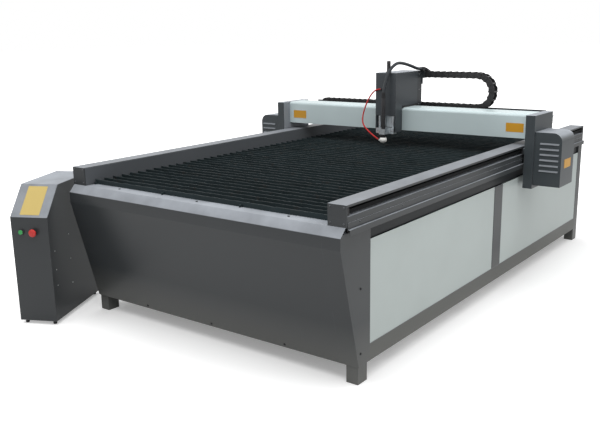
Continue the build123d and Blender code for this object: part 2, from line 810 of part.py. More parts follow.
# Guide blocks between the uprights' pads and the side rails, two on each side.
with BuildPart() as side_blocks:
    for block_y in (upright_y[0] + block_inset, upright_y[1] - block_inset):
        run = (block_y - block_length / 2, block_y + block_length / 2)
        block((rail_x + block_lift, block_face_x), run, (rail_z - block_w / 2, rail_z + block_w / 2))
        channel = rail_size / 2 + guide_clear
        channel_x = (rail_x + block_lift, rail_x + rail_size + guide_clear)
        block(channel_x, run, (rail_z - channel, rail_z + channel), mode=Mode.SUBTRACT)
    mirror(about=Plane.YZ)
side_blocks.part.label = "side_blocks"
export_step(side_blocks.part, "parts/side_blocks.step")

# Gantry beam: the steel tube that carries the head, hidden under the white hood.
with BuildPart() as gantry_beam:
    reach = upright_x[0]
    block((-reach, reach), (tube_front, tube_back), tube_z)
    fillet(gantry_beam.edges().filter_by(Axis.X), hood_edge_r)
    offset(amount=-beam_wall, openings=gantry_beam.faces().filter_by(Axis.X))
gantry_beam.part.label = "gantry_beam"
export_step(gantry_beam.part, "parts/gantry_beam.step")

# White hood over the beam's front and top, with a rounded front edge and a return under the beam.
with BuildPart() as beam_hood:
    block((-upright_x[0], upright_x[0]), hood_y, hood_z)
    fillet(beam_hood.edges().filter_by(Axis.X).group_by(Axis.Z)[-1].sort_by(Axis.Y)[0], hood_edge_r)
    hood_open = beam_hood.faces().filter_by(Axis.X) + [beam_hood.faces().sort_by(Axis.Y)[-1]]
    offset(amount=-hood_t, openings=hood_open)
    return_y = (hood_y[0] + hood_return, hood_y[1])
    block((-upright_x[0], upright_x[0]), return_y, (hood_z[0], tube_z[0]), mode=Mode.SUBTRACT)
beam_hood.part.label = "beam_hood"
export_step(beam_hood.part, "parts/beam_hood.step")

# Two guide rails on the back of the beam.
with BuildPart() as cross_rails:
    for z in cross_rail_z:
        with BuildSketch(Plane.YZ.offset(-upright_x[0])):
            with BuildLine():
                Polyline(*[(tube_back + height, z + side) for height, side in rail_outline()], close=True)
            make_face()
        extrude(amount=2 * upright_x[0])
cross_rails.part.label = "cross_rails"
export_step(cross_rails.part, "parts/cross_rails.step")

# Gear rack between those rails, teeth to the back.
with BuildPart() as cross_rack:
    cross_teeth_left = int((upright_x[0] + head_x) / tooth_pitch)
    cross_teeth_right = int((upright_x[0] - head_x) / tooth_pitch)
    with BuildSketch(Plane.XY.offset(cross_rack_z)):
        with BuildLine():
            cross_start = head_x - cross_teeth_left * tooth_pitch
            cross_points = rack_outline(cross_start, cross_teeth_left + cross_teeth_right)
            Polyline(*[(along, tube_back + height) for along, height in cross_points], close=True)
        make_face()
    extrude(amount=rack_w)
cross_rack.part.label = "cross_rack"
export_step(cross_rack.part, "parts/cross_rack.step")

# Gearmotors on the outside of the uprights: a square gearbox with a hollow output, and the motor behind it.
with BuildPart() as side_motors:
    gearbox_end = upright_x[1] + gearbox_length
    for start, size, length in (
        (upright_x[1], gearbox_size, gearbox_length),
        (gearbox_end, motor_size, motor_length),
    ):
        half = size / 2
        block((start, start + length), (drive_y - half, drive_y + half), (drive_z - half, drive_z + half))
    chamfer(side_motors.edges().filter_by(Axis.X), motor_size / motor_corner)
    with BuildSketch(Plane.YZ.offset(upright_x[1])):
        with Locations((drive_y, drive_z)):
            Circle(shaft_d / 2 + running_clear)
    extrude(amount=shaft_entry + running_clear, mode=Mode.SUBTRACT)
    mirror(about=Plane.YZ)
side_motors.part.label = "side_motors"
export_step(side_motors.part, "parts/side_motors.step")

# Louvred sheet covers over the gearmotors, open towards the uprights.
with BuildPart() as motor_covers:
    cover_x = (upright_x[1], upright_x[1] + cover_w)
    cover_y = (upright_y[0] + cover_setback, upright_y[0] + cover_setback + cover_depth)
    block(cover_x, cover_y, (cover_bottom, cover_top))
    fillet(motor_covers.edges().filter_by(Axis.Y).group_by(Axis.Z)[-1].sort_by(Axis.X)[-1], cover_round)
    offset(amount=-cover_t, openings=motor_covers.faces().sort_by(Axis.X)[0])
    louver_x = cover_x[1] - louver_side - louver_length
    louver_heights = [cover_top - louver_inset - index * louver_pitch for index in range(louver_count)]
    for z in louver_heights:
        block(
            (louver_x, louver_x + louver_length),
            (cover_y[0], cover_y[0] + cover_t),
            (z - louver_h, z - louver_h / 2),
            mode=Mode.SUBTRACT,
        )
        with BuildSketch(Plane.YZ.offset(louver_x)):
            with BuildLine():
                Polyline(
                    (cover_y[0], z),
                    (cover_y[0] - louver_lift, z - louver_h),
                    (cover_y[0] - louver_lift + louver_sheet, z - louver_h),
                    (cover_y[0], z - 2 * louver_sheet),
                    close=True,
                )
            make_face()
        extrude(amount=louver_length)
    mirror(about=Plane.YZ)
motor_covers.part.label = "motor_covers"
export_step(motor_covers.part, "parts/motor_covers.step")

# Blank amber plates: two on the hood's front, one on each motor cover.
with BuildPart() as blank_plates:
    plate_right = upright_x[0] - beam_plate_end
    plate_mid_z = hood_bottom + beam_plate_rise
    plate_z = (plate_mid_z - beam_plate[1] / 2, plate_mid_z + beam_plate[1] / 2)
    block((plate_right - beam_plate[0], plate_right), (hood_y[0] - plate_t, hood_y[0]), plate_z)
    cover_mid_y = cover_y[0] + cover_plate_at * cover_depth
    cover_mid_z = (cover_bottom + cover_top - cover_round) / 2
    block(
        (cover_x[1], cover_x[1] + plate_t),
        (cover_mid_y - cover_plate[0] / 2, cover_mid_y + cover_plate[0] / 2),
        (cover_mid_z - cover_plate[1] / 2, cover_mid_z + cover_plate[1] / 2),
    )
    mirror(about=Plane.YZ)
blank_plates.part.label = "blank_plates"
export_step(blank_plates.part, "parts/blank_plates.step")

# Drive pinions with their shafts, one on each side.
with BuildPart() as right_pinion:
    with BuildSketch(Plane.YZ.offset(rack_x[0])):
        with BuildLine():
            Polyline(*[(drive_y + y, drive_z + z) for y, z in pinion_outline()], close=True)
        make_face()
    extrude(amount=rack_w)
    with BuildSketch(Plane.YZ.offset(rack_x[0])):
        with Locations((drive_y, drive_z)):
            Circle(shaft_d / 2)
    extrude(amount=upright_x[1] + shaft_entry - rack_x[0])
right_pinion.part.label = "right_pinion"
export_step(right_pinion.part, "parts/right_pinion.step")

with BuildPart() as left_pinion:
    mirror(right_pinion.part, about=Plane.YZ)
left_pinion.part.label = "left_pinion"
export_step(left_pinion.part, "parts/left_pinion.step")

# Chain tray: a shallow channel behind the beam, hung from the uprights' back faces.
with BuildPart() as chain_tray:
    tray_y = (chain_y[0] - chain_tray_side, chain_y[1] + chain_tray_side)
    block((-tray_reach, tray_reach), tray_y, chain_tray_z)
    lip_z = (chain_tray_z[0], chain_tray_z[0] + chain_tray_lip)
    block((-tray_reach, tray_reach), (tray_y[1] - tray_t, tray_y[1]), lip_z)
    block((chain_fixed_x - tray_foot_t, chain_fixed_x), chain_y, (chain_tray_z[0], lower_z))
    foot_y = (upright_y[1], upright_y[1] + tray_foot_t)
    flange_z = (chain_tray_z[0] - tray_flange, chain_tray_z[1])
    for side in (-1, 1):
        arm = sorted((side * (tray_reach - tray_flange), side * upright_x[1]))
        block(arm, (upright_y[1], tray_y[0] + tray_t), chain_tray_z)
        flange = sorted((side * upright_x[0], side * upright_x[1]))
        block(flange, foot_y, flange_z)
chain_tray.part.label = "chain_tray"
export_step(chain_tray.part, "parts/chain_tray.step")


def chain_link(start, end):
    """Hollow link between two stations, each given as its middle (x, z) and its direction outwards."""
    for half_h, half_w_link, mode in (
        (chain_h / 2, chain_w / 2, Mode.ADD),
        (chain_h / 2 - chain_wall, chain_w / 2 - chain_wall, Mode.SUBTRACT),
    ):
        corners = [
            (spot[0] + sign * half_h * out[0], spot[1] + sign * half_h * out[1])
            for (spot, out), sign in ((start, -1), (start, 1), (end, 1), (end, -1))
        ]
        with BuildSketch(Plane.XZ.offset(-(sum(chain_y) / 2 + half_w_link))) as side:
            with BuildLine():
                Polyline(*corners, close=True)
            make_face()
        extrude(side.sketch, amount=2 * half_w_link, mode=mode)


# Drag chain, lower run: lies in the tray from its fixed end to the bend.
with BuildPart() as chain_lower_run:
    for link in range(lower_links):
        link_x = chain_fixed_x + link * chain_pitch
        chain_link(((link_x, lower_z), (0, 1)), ((link_x + chain_pitch - chain_gap, lower_z), (0, 1)))
chain_lower_run.part.label = "chain_lower_run"
export_step(chain_lower_run.part, "parts/chain_lower_run.step")

# Drag chain, bend: half a turn from the lower run to the upper run.
with BuildPart() as chain_bend:
    bend_mid_z = (lower_z + upper_z) / 2
    link_turn = pi / bend_links
    gap_turn = chain_gap / chain_radius
    for link in range(bend_links):
        stations = []
        for angle in (link * link_turn, (link + 1) * link_turn - gap_turn):
            out = (sin(angle), -cos(angle))
            stations.append(((bend_x + chain_radius * out[0], bend_mid_z + chain_radius * out[1]), out))
        chain_link(*stations)
chain_bend.part.label = "chain_bend"
export_step(chain_bend.part, "parts/chain_bend.step")

# Drag chain, upper run: from the bend back to the head.
with BuildPart() as chain_upper_run:
    for link in range(upper_links):
        link_x = chain_end_x + link * chain_pitch
        chain_link(((link_x, upper_z), (0, 1)), ((link_x + chain_pitch - chain_gap, upper_z), (0, 1)))
chain_upper_run.part.label = "chain_upper_run"
export_step(chain_upper_run.part, "parts/chain_upper_run.step")

# Saddle: welded plates that hang on the beam's back rails, bridge the beam and carry the torch lift.
with BuildPart() as head_saddle:
    back_y = (cross_block_y, cross_block_y + saddle_back_t)
    block(head_inner, back_y, (saddle_bottom, shelf_z[1]))
    block(head_inner, (saddle_front_y[0], shelf_back), shelf_z)
    block(head_inner, saddle_front_y, (saddle_bottom, saddle_top))
    window_x = (head_x - pinion_window, head_x + pinion_window)
    block(window_x, back_y, (window_bottom, shelf_z[0]), mode=Mode.SUBTRACT)
    lift_x = (head_x - lift_half_w, head_x + lift_half_w)
    block(lift_x, (rod_front, saddle_front_y[0]), bush_block)
    block(lift_x, (lift_y - motor_plate_half, saddle_front_y[0]), lift_plate)
    rod_spots = [(head_x + side * rod_spread, rod_y, bush_block[1]) for side in (-1, 1)]
    with Locations(*rod_spots):
        Hole(rod_d / 2 + running_clear, depth=bush_block[1] - bush_block[0])
    with Locations((head_x, lift_y, bush_block[1])):
        Hole(screw_d / 2 + running_clear, depth=(bush_block[1] - bush_block[0]) / 2)
    with Locations((head_x, lift_y, lift_plate[1])):
        Hole(screw_d / 2 + running_clear, depth=lift_plate[1] - lift_plate[0])
    with Locations((head_x, cross_drive_y, shelf_z[1])):
        Hole(cross_shaft_d / 2 + running_clear, depth=shelf_t)
head_saddle.part.label = "head_saddle"
export_step(head_saddle.part, "parts/head_saddle.step")

# Guide blocks between the saddle and the back rails.
with BuildPart() as cross_blocks:
    for z in cross_rail_z:
        for block_x in (head_x - head_block_spread, head_x + head_block_spread):
            run = (block_x - block_length / 2, block_x + block_length / 2)
            block(run, (tube_back + block_lift, cross_block_y), (z - block_w / 2, z + block_w / 2))
            channel = rail_size / 2 + guide_clear
            channel_y = (tube_back + block_lift, tube_back + rail_size + guide_clear)
            block(run, channel_y, (z - channel, z + channel), mode=Mode.SUBTRACT)
cross_blocks.part.label = "cross_blocks"
export_step(cross_blocks.part, "parts/cross_blocks.step")

# Cross motor: stands on the saddle's shelf, with its pinion below.
with BuildPart() as cross_motor:
    half = head_motor_size / 2
    motor_z = (shelf_z[1], shelf_z[1] + head_motor_length)
    block((head_x - half, head_x + half), (cross_drive_y - half, cross_drive_y + half), motor_z)
    chamfer(cross_motor.edges().filter_by(Axis.Z), head_motor_size / motor_corner)
    with BuildSketch(Plane.XY.offset(shelf_z[1])):
        with Locations((head_x, cross_drive_y)):
            Circle(cross_shaft_d / 2 + running_clear)
    extrude(amount=shaft_entry + running_clear, mode=Mode.SUBTRACT)
cross_motor.part.label = "cross_motor"
export_step(cross_motor.part, "parts/cross_motor.step")

with BuildPart() as cross_pinion:
    with BuildSketch(Plane.XY.offset(cross_rack_z)):
        with BuildLine():
            Polyline(*[(head_x + x, cross_drive_y + y) for x, y in pinion_outline()], close=True)
        make_face()
    extrude(amount=rack_w)
    with BuildSketch(Plane.XY.offset(cross_rack_z)):
        with Locations((head_x, cross_drive_y)):
            Circle(cross_shaft_d / 2)
    extrude(amount=shelf_z[1] + shaft_entry - cross_rack_z)
cross_pinion.part.label = "cross_pinion"
export_step(cross_pinion.part, "parts/cross_pinion.step")

# Head housing: a folded front shell over the beam, and a back cover with the bracket for the drag chain.
with BuildPart() as head_housing:
    over_beam_z = gantry_top + head_over_beam
    for side_x in ((head_side[0], head_inner[0]), (head_inner[1], head_side[1])):
        block(side_x, (head_front, head_seam), (over_beam_z, head_top))
        block(side_x, (head_front, hood_y[0] - head_beam_gap), (head_side_bottom, over_beam_z))
    block(head_side, (head_front, head_front + sheet_t), (head_front_bottom, head_top))
    block(head_side, (head_front, head_seam), (head_top - sheet_t, head_top))
    rear_y = (head_seam + seam_gap, head_back)
    rear_z = (saddle_bottom, head_top)
    block(head_side, rear_y, rear_z)
    rear_hollow_y = (rear_y[0], head_back - sheet_t)
    block(head_inner, rear_hollow_y, (saddle_bottom, head_top - sheet_t), mode=Mode.SUBTRACT)
    bracket_x = (chain_end_x - chain_w, chain_end_x + chain_pitch / 2)
    bracket_top = upper_z - chain_h / 2
    block(bracket_x, (head_back, chain_y[1]), (bracket_top - tray_foot_t, bracket_top))
    bracket_foot = (head_back, head_back + tray_foot_t)
    block(bracket_x, bracket_foot, (bracket_top - tray_flange, bracket_top))
    block(relief_x, bracket_foot, (bracket_top, head_top + relief_size))
head_housing.part.label = "head_housing"
export_step(head_housing.part, "parts/head_housing.step")

# Torch lift: motor on top, screw, two guide rods that slide in the saddle, crosshead with the nut.
with BuildPart() as lift_motor:
    half = lift_motor_size / 2
    motor_z = (lift_plate[1], lift_plate[1] + lift_motor_length)
    block((head_x - half, head_x + half), (lift_y - half, lift_y + half), motor_z)
    chamfer(lift_motor.edges().filter_by(Axis.Z), lift_motor_size / motor_corner)
    with BuildSketch(Plane.XY.offset(lift_plate[1])):
        with Locations((head_x, lift_y)):
            Circle(screw_d / 2 + running_clear)
    extrude(amount=screw_entry + running_clear, mode=Mode.SUBTRACT)
lift_motor.part.label = "lift_motor"
export_step(lift_motor.part, "parts/lift_motor.step")

with BuildPart() as lift_screw:
    screw_foot = (bush_block[0] + bush_block[1]) / 2 + running_clear
    with BuildSketch(Plane.XY.offset(screw_foot)):
        with Locations((head_x, lift_y)):
            Circle(screw_d / 2)
    extrude(amount=lift_plate[1] + screw_entry - screw_foot)
lift_screw.part.label = "lift_screw"
export_step(lift_screw.part, "parts/lift_screw.step")

with BuildPart() as lift_rods:
    with BuildSketch(Plane.XY.offset(clamp[1])):
        with Locations((head_x, rod_y)):
            with GridLocations(2 * rod_spread, 0, 2, 1):
                Circle(rod_d / 2)
    extrude(amount=crosshead[0] - clamp[1])
lift_rods.part.label = "lift_rods"
export_step(lift_rods.part, "parts/lift_rods.step")

with BuildPart() as lift_crosshead:
    cross_y = (rod_front, lift_y + crosshead_back)
    block((head_x - lift_half_w, head_x + lift_half_w), cross_y, crosshead)
    with Locations((head_x, lift_y, crosshead[1])):
        Hole(screw_d / 2 + running_clear, depth=crosshead[1] - crosshead[0])
lift_crosshead.part.label = "lift_crosshead"
export_step(lift_crosshead.part, "parts/lift_crosshead.step")

# Torch clamp: an aluminium bar across both rods with a grip for the torch in front of the head.
with BuildPart() as torch_clamp:
    bar_y = (rod_y - clamp_bar[0], rod_y + clamp_bar[1])
    block((head_x - lift_half_w, head_x + lift_half_w), bar_y, clamp)
    grip_y = (torch_y - clamp_front, bar_y[0])
    block((torch_x - clamp_grip_half, torch_x + clamp_grip_half), grip_y, clamp)
    fillet(torch_clamp.edges().filter_by(Axis.Z), clamp_edge_r)
    with Locations((torch_x, torch_y, clamp[1])):
        Hole(barrel_d / 2 + running_clear, depth=clamp[1] - clamp[0])
torch_clamp.part.label = "torch_clamp"
export_step(torch_clamp.part, "parts/torch_clamp.step")

# Torch barrel, and the pale heat-proof cap with its air nipple.
with BuildPart() as torch_barrel:
    with BuildSketch(Plane.XY.offset(barrel_bottom)):
        with Locations((torch_x, torch_y)):
            Circle(barrel_d / 2)
    extrude(amount=barrel_top - barrel_bottom)
torch_barrel.part.label = "torch_barrel"
export_step(torch_barrel.part, "parts/torch_barrel.step")

with BuildPart() as torch_cap:
    with BuildSketch(Plane(origin=(torch_x, torch_y, 0), x_dir=(1, 0, 0), z_dir=(0, -1, 0))):
        with BuildLine():
            Polyline(
                (0, cap_bottom),
                (cap_tip_d / 2, cap_bottom),
                (cap_d / 2, cap_shoulder),
                (cap_d / 2, cap_rim),
                (cap_top_d / 2, cap_top),
                (barrel_d / 2 + running_clear, cap_top),
                (barrel_d / 2 + running_clear, barrel_bottom),
                (0, barrel_bottom),
                close=True,
            )
        make_face()
    revolve(axis=Axis((torch_x, torch_y, 0), (0, 0, 1)))
    with BuildSketch(Plane(origin=nipple_tip, z_dir=-nipple_dir)):
        Circle(nipple_d / 2)
    extrude(amount=nipple_length + nipple_seat)
torch_cap.part.label = "torch_cap"
export_step(torch_cap.part, "parts/torch_cap.step")

# Torch lead: up from the barrel, over the housing's top and back to the strain relief by the drag chain.
relief_front = head_back - relief_size
relief_mid_x = sum(relief_x) / 2
relief_mid_z = head_top + relief_lift + relief_size / 2
lead_shape = [  # middle of the route, from the housing's front top edge above the head's middle
    (16.5, -41.0, -78.0),
    (21.5, -32.5, -42.0),
    (27.5, -23.5, -6.5),
    (35.5, -1.5, 26.0),
    (43.5, 30.5, 49.0),
    (49.5, 68.5, 59.5),
    (56.0, 115.0, 55.0),
    (62.5, 163.0, 45.0),
    (68.5, 208.0, 33.0),
    (74.5, 250.0, 20.0),
]
lead_route = [
    (torch_x, torch_y, barrel_top),
    (torch_x, torch_y, barrel_top + lead_start),
    *[(head_x + x, head_front + y, head_top + z) for x, y, z in lead_shape],
    (relief_mid_x, relief_front - relief_run, relief_mid_z),
    (relief_mid_x, relief_front, relief_mid_z),
]
with BuildPart() as torch_lead:
    cord(lead_route, lead_d, "torch lead")
torch_lead.part.label = "torch_lead"
export_step(torch_lead.part, "parts/torch_lead.step")

# Red hose: from an elbow on the housing's front, out to the left and down to the torch cap.
elbow_z = head_top - elbow_drop
elbow_left = head_x - elbow_side - elbow_w / 2
elbow_y = head_front - elbow_w / 2
hose_shape = [  # middle of the route, from the torch's axis at the height of the nipple's root
    (-90.5, 38.0, 305.5),
    (-112.5, 35.0, 282.0),
    (-134.5, 30.0, 242.5),
    (-150.5, 25.0, 201.0),
    (-162.5, 20.0, 157.0),
    (-164.5, 15.5, 117.0),
    (-149.0, 11.0, 90.0),
    (-121.0, 7.0, 68.0),
    (-95.0, 3.0, 48.0),
]
hose_route = [
    (elbow_left, elbow_y, elbow_z),
    (elbow_left - hose_start, elbow_y, elbow_z),
    *[(torch_x + x, torch_y + y, nipple_root.Z + z) for x, y, z in hose_shape],
    nipple_tip + nipple_dir * hose_end,
    nipple_tip,
]
with BuildPart() as red_hose:
    cord(hose_route, hose_d, "red hose")
red_hose.part.label = "red_hose"
export_step(red_hose.part, "parts/red_hose.step")

# Connectors on the head: an upright post on the housing's top, the hose elbow and the lead's strain relief.
with BuildPart() as head_connectors:
    with BuildSketch(Plane.XY.offset(head_top)):
        with Locations((post_x, post_y)):
            Circle(post_foot_d / 2)
    extrude(amount=post_foot_h)
    with BuildSketch(Plane.XY.offset(head_top)):
        with Locations((post_x, post_y)):
            Circle(post_d / 2)
    extrude(amount=post_h)
    block(
        (elbow_left, elbow_left + elbow_w),
        (head_front - elbow_w, head_front),
        (elbow_z - elbow_w / 2, elbow_z + elbow_w / 2),
    )
    relief_z = (head_top + relief_lift, head_top + relief_lift + relief_size)
    block(relief_x, (relief_front, head_back), relief_z)
head_connectors.part.label = "head_connectors"
export_step(head_connectors.part, "parts/head_connectors.step")

# Control cabinet. It stands turned towards the operator, so its pieces are drawn on planes of its own.
side_dir = Vector(cos(radians(cabinet_turn)), sin(radians(cabinet_turn)), 0)
depth_dir = Vector(-sin(radians(cabinet_turn)), cos(radians(cabinet_turn)), 0)
cabinet_plane = Plane(
    origin=(-half_w - cabinet_side_gap, -half_l - cabinet_lead, 0), x_dir=side_dir, z_dir=(0, 0, 1)
)
cabinet_half = cabinet_w / 2
cabinet_inner = cabinet_half - sheet_t
case_z = (cabinet_floor, cabinet_height)
inner_z = (cabinet_floor + sheet_t, cabinet_height - sheet_t)
door_y = (cabinet_depth + door_gap, cabinet_depth + door_gap + sheet_t)
hinge_x = -cabinet_half - hinge_r
hinge_y = sum(door_y) / 2


def seen_from_side(x):
    """Plane across the cabinet at x: its two axes are depth and height."""
    return Plane(origin=cabinet_plane.from_local_coords((x, 0, 0)), x_dir=depth_dir, z_dir=side_dir)


def seen_from_front(y):
    """Plane along the cabinet's front at depth y, facing the front: its axes are sideways and height."""
    return Plane(origin=cabinet_plane.from_local_coords((0, y, 0)), x_dir=side_dir, z_dir=depth_dir * -1)


def rod(x, y, radius, z, mode=Mode.ADD):
    """Upright cylinder in the cabinet's own frame."""
    with BuildSketch(cabinet_plane.offset(z[0])) as circle:
        with Locations((x, y)):
            Circle(radius)
    extrude(circle.sketch, amount=z[1] - z[0], mode=mode)


def disc(x, z, radius, y, mode=Mode.ADD):
    """Cylinder along the cabinet's depth, from the deeper y to the nearer one."""
    with BuildSketch(seen_from_front(y[1])) as circle:
        with Locations((x, z)):
            Circle(radius)
    extrude(circle.sketch, amount=y[1] - y[0], mode=mode)


# Case: two side sheets and a base, with a return on the right for the lock to catch behind.
with BuildPart(cabinet_plane) as cabinet_case:
    for side_x in (-cabinet_half, cabinet_inner):
        with BuildSketch(seen_from_side(side_x)):
            with BuildLine():
                Polyline(
                    (0, case_z[0]),
                    (0, cabinet_front_h),
                    (cabinet_slope_run, case_z[1]),
                    (cabinet_depth, case_z[1]),
                    (cabinet_depth, case_z[0]),
                    close=True,
                )
            make_face()
        extrude(amount=sheet_t)
    block((-cabinet_inner, cabinet_inner), (0, cabinet_depth), (case_z[0], inner_z[0]))
    block((cabinet_inner - flange_w, cabinet_inner), (cabinet_depth - sheet_t, cabinet_depth), inner_z)
cabinet_case.part.label = "cabinet_case"
export_step(cabinet_case.part, "parts/cabinet_case.step")

# Front, slope and top: one folded sheet between the sides.
front_line = [
    (cabinet_depth, cabinet_height),
    (cabinet_slope_run, cabinet_height),
    (0, cabinet_front_h),
    (0, inner_z[0]),
]
with BuildPart(cabinet_plane) as cabinet_front:
    with BuildSketch(seen_from_side(-cabinet_inner)):
        with BuildLine():
            Polyline(*front_line, *reversed(folded(front_line, sheet_t)), close=True)
        make_face()
    extrude(amount=2 * cabinet_inner)
    for x in (start_x, stop_x):
        disc(x, button_z, sleeve_d / 2, (0, sheet_t), mode=Mode.SUBTRACT)
cabinet_front.part.label = "cabinet_front"
export_step(cabinet_front.part, "parts/cabinet_front.step")

# Rubber feet.
with BuildPart(cabinet_plane) as cabinet_feet:
    foot_x = cabinet_half - cabinet_foot_inset
    for x in (-foot_x, foot_x):
        for y in (cabinet_foot_inset, cabinet_depth - cabinet_foot_inset):
            rod(x, y, cabinet_foot_d / 2, (0, cabinet_floor))
cabinet_feet.part.label = "cabinet_feet"
export_step(cabinet_feet.part, "parts/cabinet_feet.step")

# Blank yellow plate on the slope.
with BuildPart(cabinet_plane) as cabinet_plate:
    slope_rise = cabinet_height - cabinet_front_h
    slope_run = depth_dir * cabinet_slope_run + Vector(0, 0, slope_rise)
    slope_mid = (0, cabinet_slope_run / 2, cabinet_front_h + slope_rise / 2)
    slope_plane = Plane(
        origin=cabinet_plane.from_local_coords(slope_mid), x_dir=side_dir, z_dir=side_dir.cross(slope_run)
    )
    with BuildSketch(slope_plane):
        RectangleRounded(*yellow_plate, yellow_plate_r)
    extrude(amount=plate_t)
cabinet_plate.part.label = "cabinet_plate"
export_step(cabinet_plate.part, "parts/cabinet_plate.step")

# Push-button collars: a bezel in front of the sheet and a sleeve through it.
with BuildPart(cabinet_plane) as button_collars:
    for x in (start_x, stop_x):
        disc(x, button_z, collar_d / 2, (-collar_h, 0))
        disc(x, button_z, sleeve_d / 2, (0, sleeve_length))
        disc(x, button_z, cap_r + button_clear, (-collar_h, -collar_floor), mode=Mode.SUBTRACT)
        disc(x, button_z, stem_r + button_clear, (-collar_floor, sleeve_length), mode=Mode.SUBTRACT)
button_collars.part.label = "button_collars"
export_step(button_collars.part, "parts/button_collars.step")

# Green start button: a cap in its bezel, on a stem.
with BuildPart(cabinet_plane) as start_button:
    cap_back = -collar_floor - button_travel - button_clear
    disc(start_x, button_z, cap_r, (-collar_h - start_proud, cap_back))
    disc(start_x, button_z, stem_r, (cap_back, sleeve_length - button_travel))
start_button.part.label = "start_button"
export_step(start_button.part, "parts/start_button.step")

# Red stop button: a domed mushroom head on a stem.
with BuildPart(cabinet_plane) as stop_button:
    head_y = (-collar_h - stop_lift - stop_head, -collar_h - stop_lift)
    disc(stop_x, button_z, stop_d / 2, head_y)
    rims = stop_button.edges().filter_by(GeomType.CIRCLE)
    fillet(rims.sort_by(Axis(cabinet_plane.origin, depth_dir))[0], stop_dome)
    disc(stop_x, button_z, stem_r, (head_y[1], sleeve_length - button_travel))
stop_button.part.label = "stop_button"
export_step(stop_button.part, "parts/stop_button.step")

# Inner mounting plate with three axis drives and a power supply on its back, reached from the rear door.
with BuildPart(cabinet_plane) as mounting_plate:
    block((-cabinet_inner, cabinet_inner), (mount_plate_y, mount_plate_y + sheet_t), mount_plate_z)
mounting_plate.part.label = "mounting_plate"
export_step(mounting_plate.part, "parts/mounting_plate.step")

with BuildPart(cabinet_plane) as drive_modules:
    plate_back = mount_plate_y + sheet_t
    for x in (-module_pitch, 0, module_pitch):
        block(
            (x - module_size[0] / 2, x + module_size[0] / 2),
            (plate_back, plate_back + module_size[1]),
            (module_z, module_z + module_size[2]),
        )
    block(
        (-supply_size[0] / 2, supply_size[0] / 2),
        (plate_back, plate_back + supply_size[1]),
        (mount_plate_z[0], mount_plate_z[0] + supply_size[2]),
    )
drive_modules.part.label = "drive_modules"
export_step(drive_modules.part, "parts/drive_modules.step")

# Door hinges: fixed leaves on the case's left side, each with a knuckle and a pin.
with BuildPart(cabinet_plane) as door_hinges:
    for z in hinge_z:
        leaf_x = (-cabinet_half - sheet_t, -cabinet_half)
        block(leaf_x, (cabinet_depth - hinge_leaf, hinge_y), (z, z + knuckle_h))
        rod(hinge_x, hinge_y, hinge_r, (z, z + knuckle_h))
        rod(hinge_x, hinge_y, hinge_pin_r, (z, z + 2 * knuckle_h + knuckle_gap))
door_hinges.part.label = "door_hinges"
export_step(door_hinges.part, "parts/door_hinges.step")

# Rear door with its own knuckles and a bore for the lock.
with BuildPart(cabinet_plane) as cabinet_door:
    block((-cabinet_half + 2 * door_gap, cabinet_half), door_y, inner_z)
    for z in hinge_z:
        upper = (z + knuckle_h + knuckle_gap, z + 2 * knuckle_h + knuckle_gap)
        block((hinge_x, -cabinet_half + hinge_r), door_y, upper)
        rod(hinge_x, hinge_y, hinge_r, upper)
        rod(hinge_x, hinge_y, hinge_pin_r + running_clear, upper, mode=Mode.SUBTRACT)
    disc(lock_x, lock_z, lock_shaft_r + running_clear, door_y, mode=Mode.SUBTRACT)
cabinet_door.part.label = "cabinet_door"
export_step(cabinet_door.part, "parts/cabinet_door.step")

# Quarter-turn lock: knob outside, shaft through the door, cam inside; the cam hangs down when it is open.
with BuildPart(cabinet_plane) as door_lock:
    knob_y = (door_y[1] + knuckle_gap, door_y[1] + knuckle_gap + lock_knob_h)
    cam_y = (cabinet_depth - lock_back - lock_cam_t, cabinet_depth - lock_back)
    disc(lock_x, lock_z, lock_knob_d / 2, knob_y)
    disc(lock_x, lock_z, lock_shaft_r, (cam_y[0], knob_y[0]))
    cam_x = (lock_x - lock_cam_w / 2, lock_x + lock_cam_w / 2)
    block(cam_x, cam_y, (lock_z - lock_reach, lock_z + lock_cam_w / 2))
    grip_x = (lock_x - lock_cam_t, lock_x + lock_cam_t)
    grip_z = (lock_z - lock_knob_d / 2, lock_z + lock_knob_d / 2)
    block(grip_x, (knob_y[1], knob_y[1] + lock_knob_h), grip_z)
door_lock.part.label = "door_lock"
export_step(door_lock.part, "parts/door_lock.step")
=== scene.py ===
# A plasma cutting table in its dressed form: coats, worn metal, fasteners, drag chain, torch and cords,
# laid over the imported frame. Metres, +X across the table, +Y to the back, +Z up, floor at zero.
from math import asin, atan2, ceil, cos, pi, radians, sin, tan

import bmesh
import bpy
from mathutils import Matrix, Vector, noise


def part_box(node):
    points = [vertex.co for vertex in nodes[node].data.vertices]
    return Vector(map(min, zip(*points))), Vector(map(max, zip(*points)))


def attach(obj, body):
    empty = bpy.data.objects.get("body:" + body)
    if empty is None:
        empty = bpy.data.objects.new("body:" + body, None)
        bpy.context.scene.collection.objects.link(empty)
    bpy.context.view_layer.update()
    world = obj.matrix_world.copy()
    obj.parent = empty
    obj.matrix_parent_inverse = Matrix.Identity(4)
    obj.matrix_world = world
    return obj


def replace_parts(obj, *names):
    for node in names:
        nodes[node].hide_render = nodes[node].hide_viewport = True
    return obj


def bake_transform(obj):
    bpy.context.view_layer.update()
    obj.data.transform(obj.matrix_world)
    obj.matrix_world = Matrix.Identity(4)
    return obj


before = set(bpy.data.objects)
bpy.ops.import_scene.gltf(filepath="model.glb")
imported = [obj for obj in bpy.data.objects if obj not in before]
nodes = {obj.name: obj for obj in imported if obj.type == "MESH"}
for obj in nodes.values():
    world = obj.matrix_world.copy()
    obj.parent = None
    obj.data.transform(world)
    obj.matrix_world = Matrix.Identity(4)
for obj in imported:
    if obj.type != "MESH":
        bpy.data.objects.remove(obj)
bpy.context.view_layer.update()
scene = bpy.context.scene

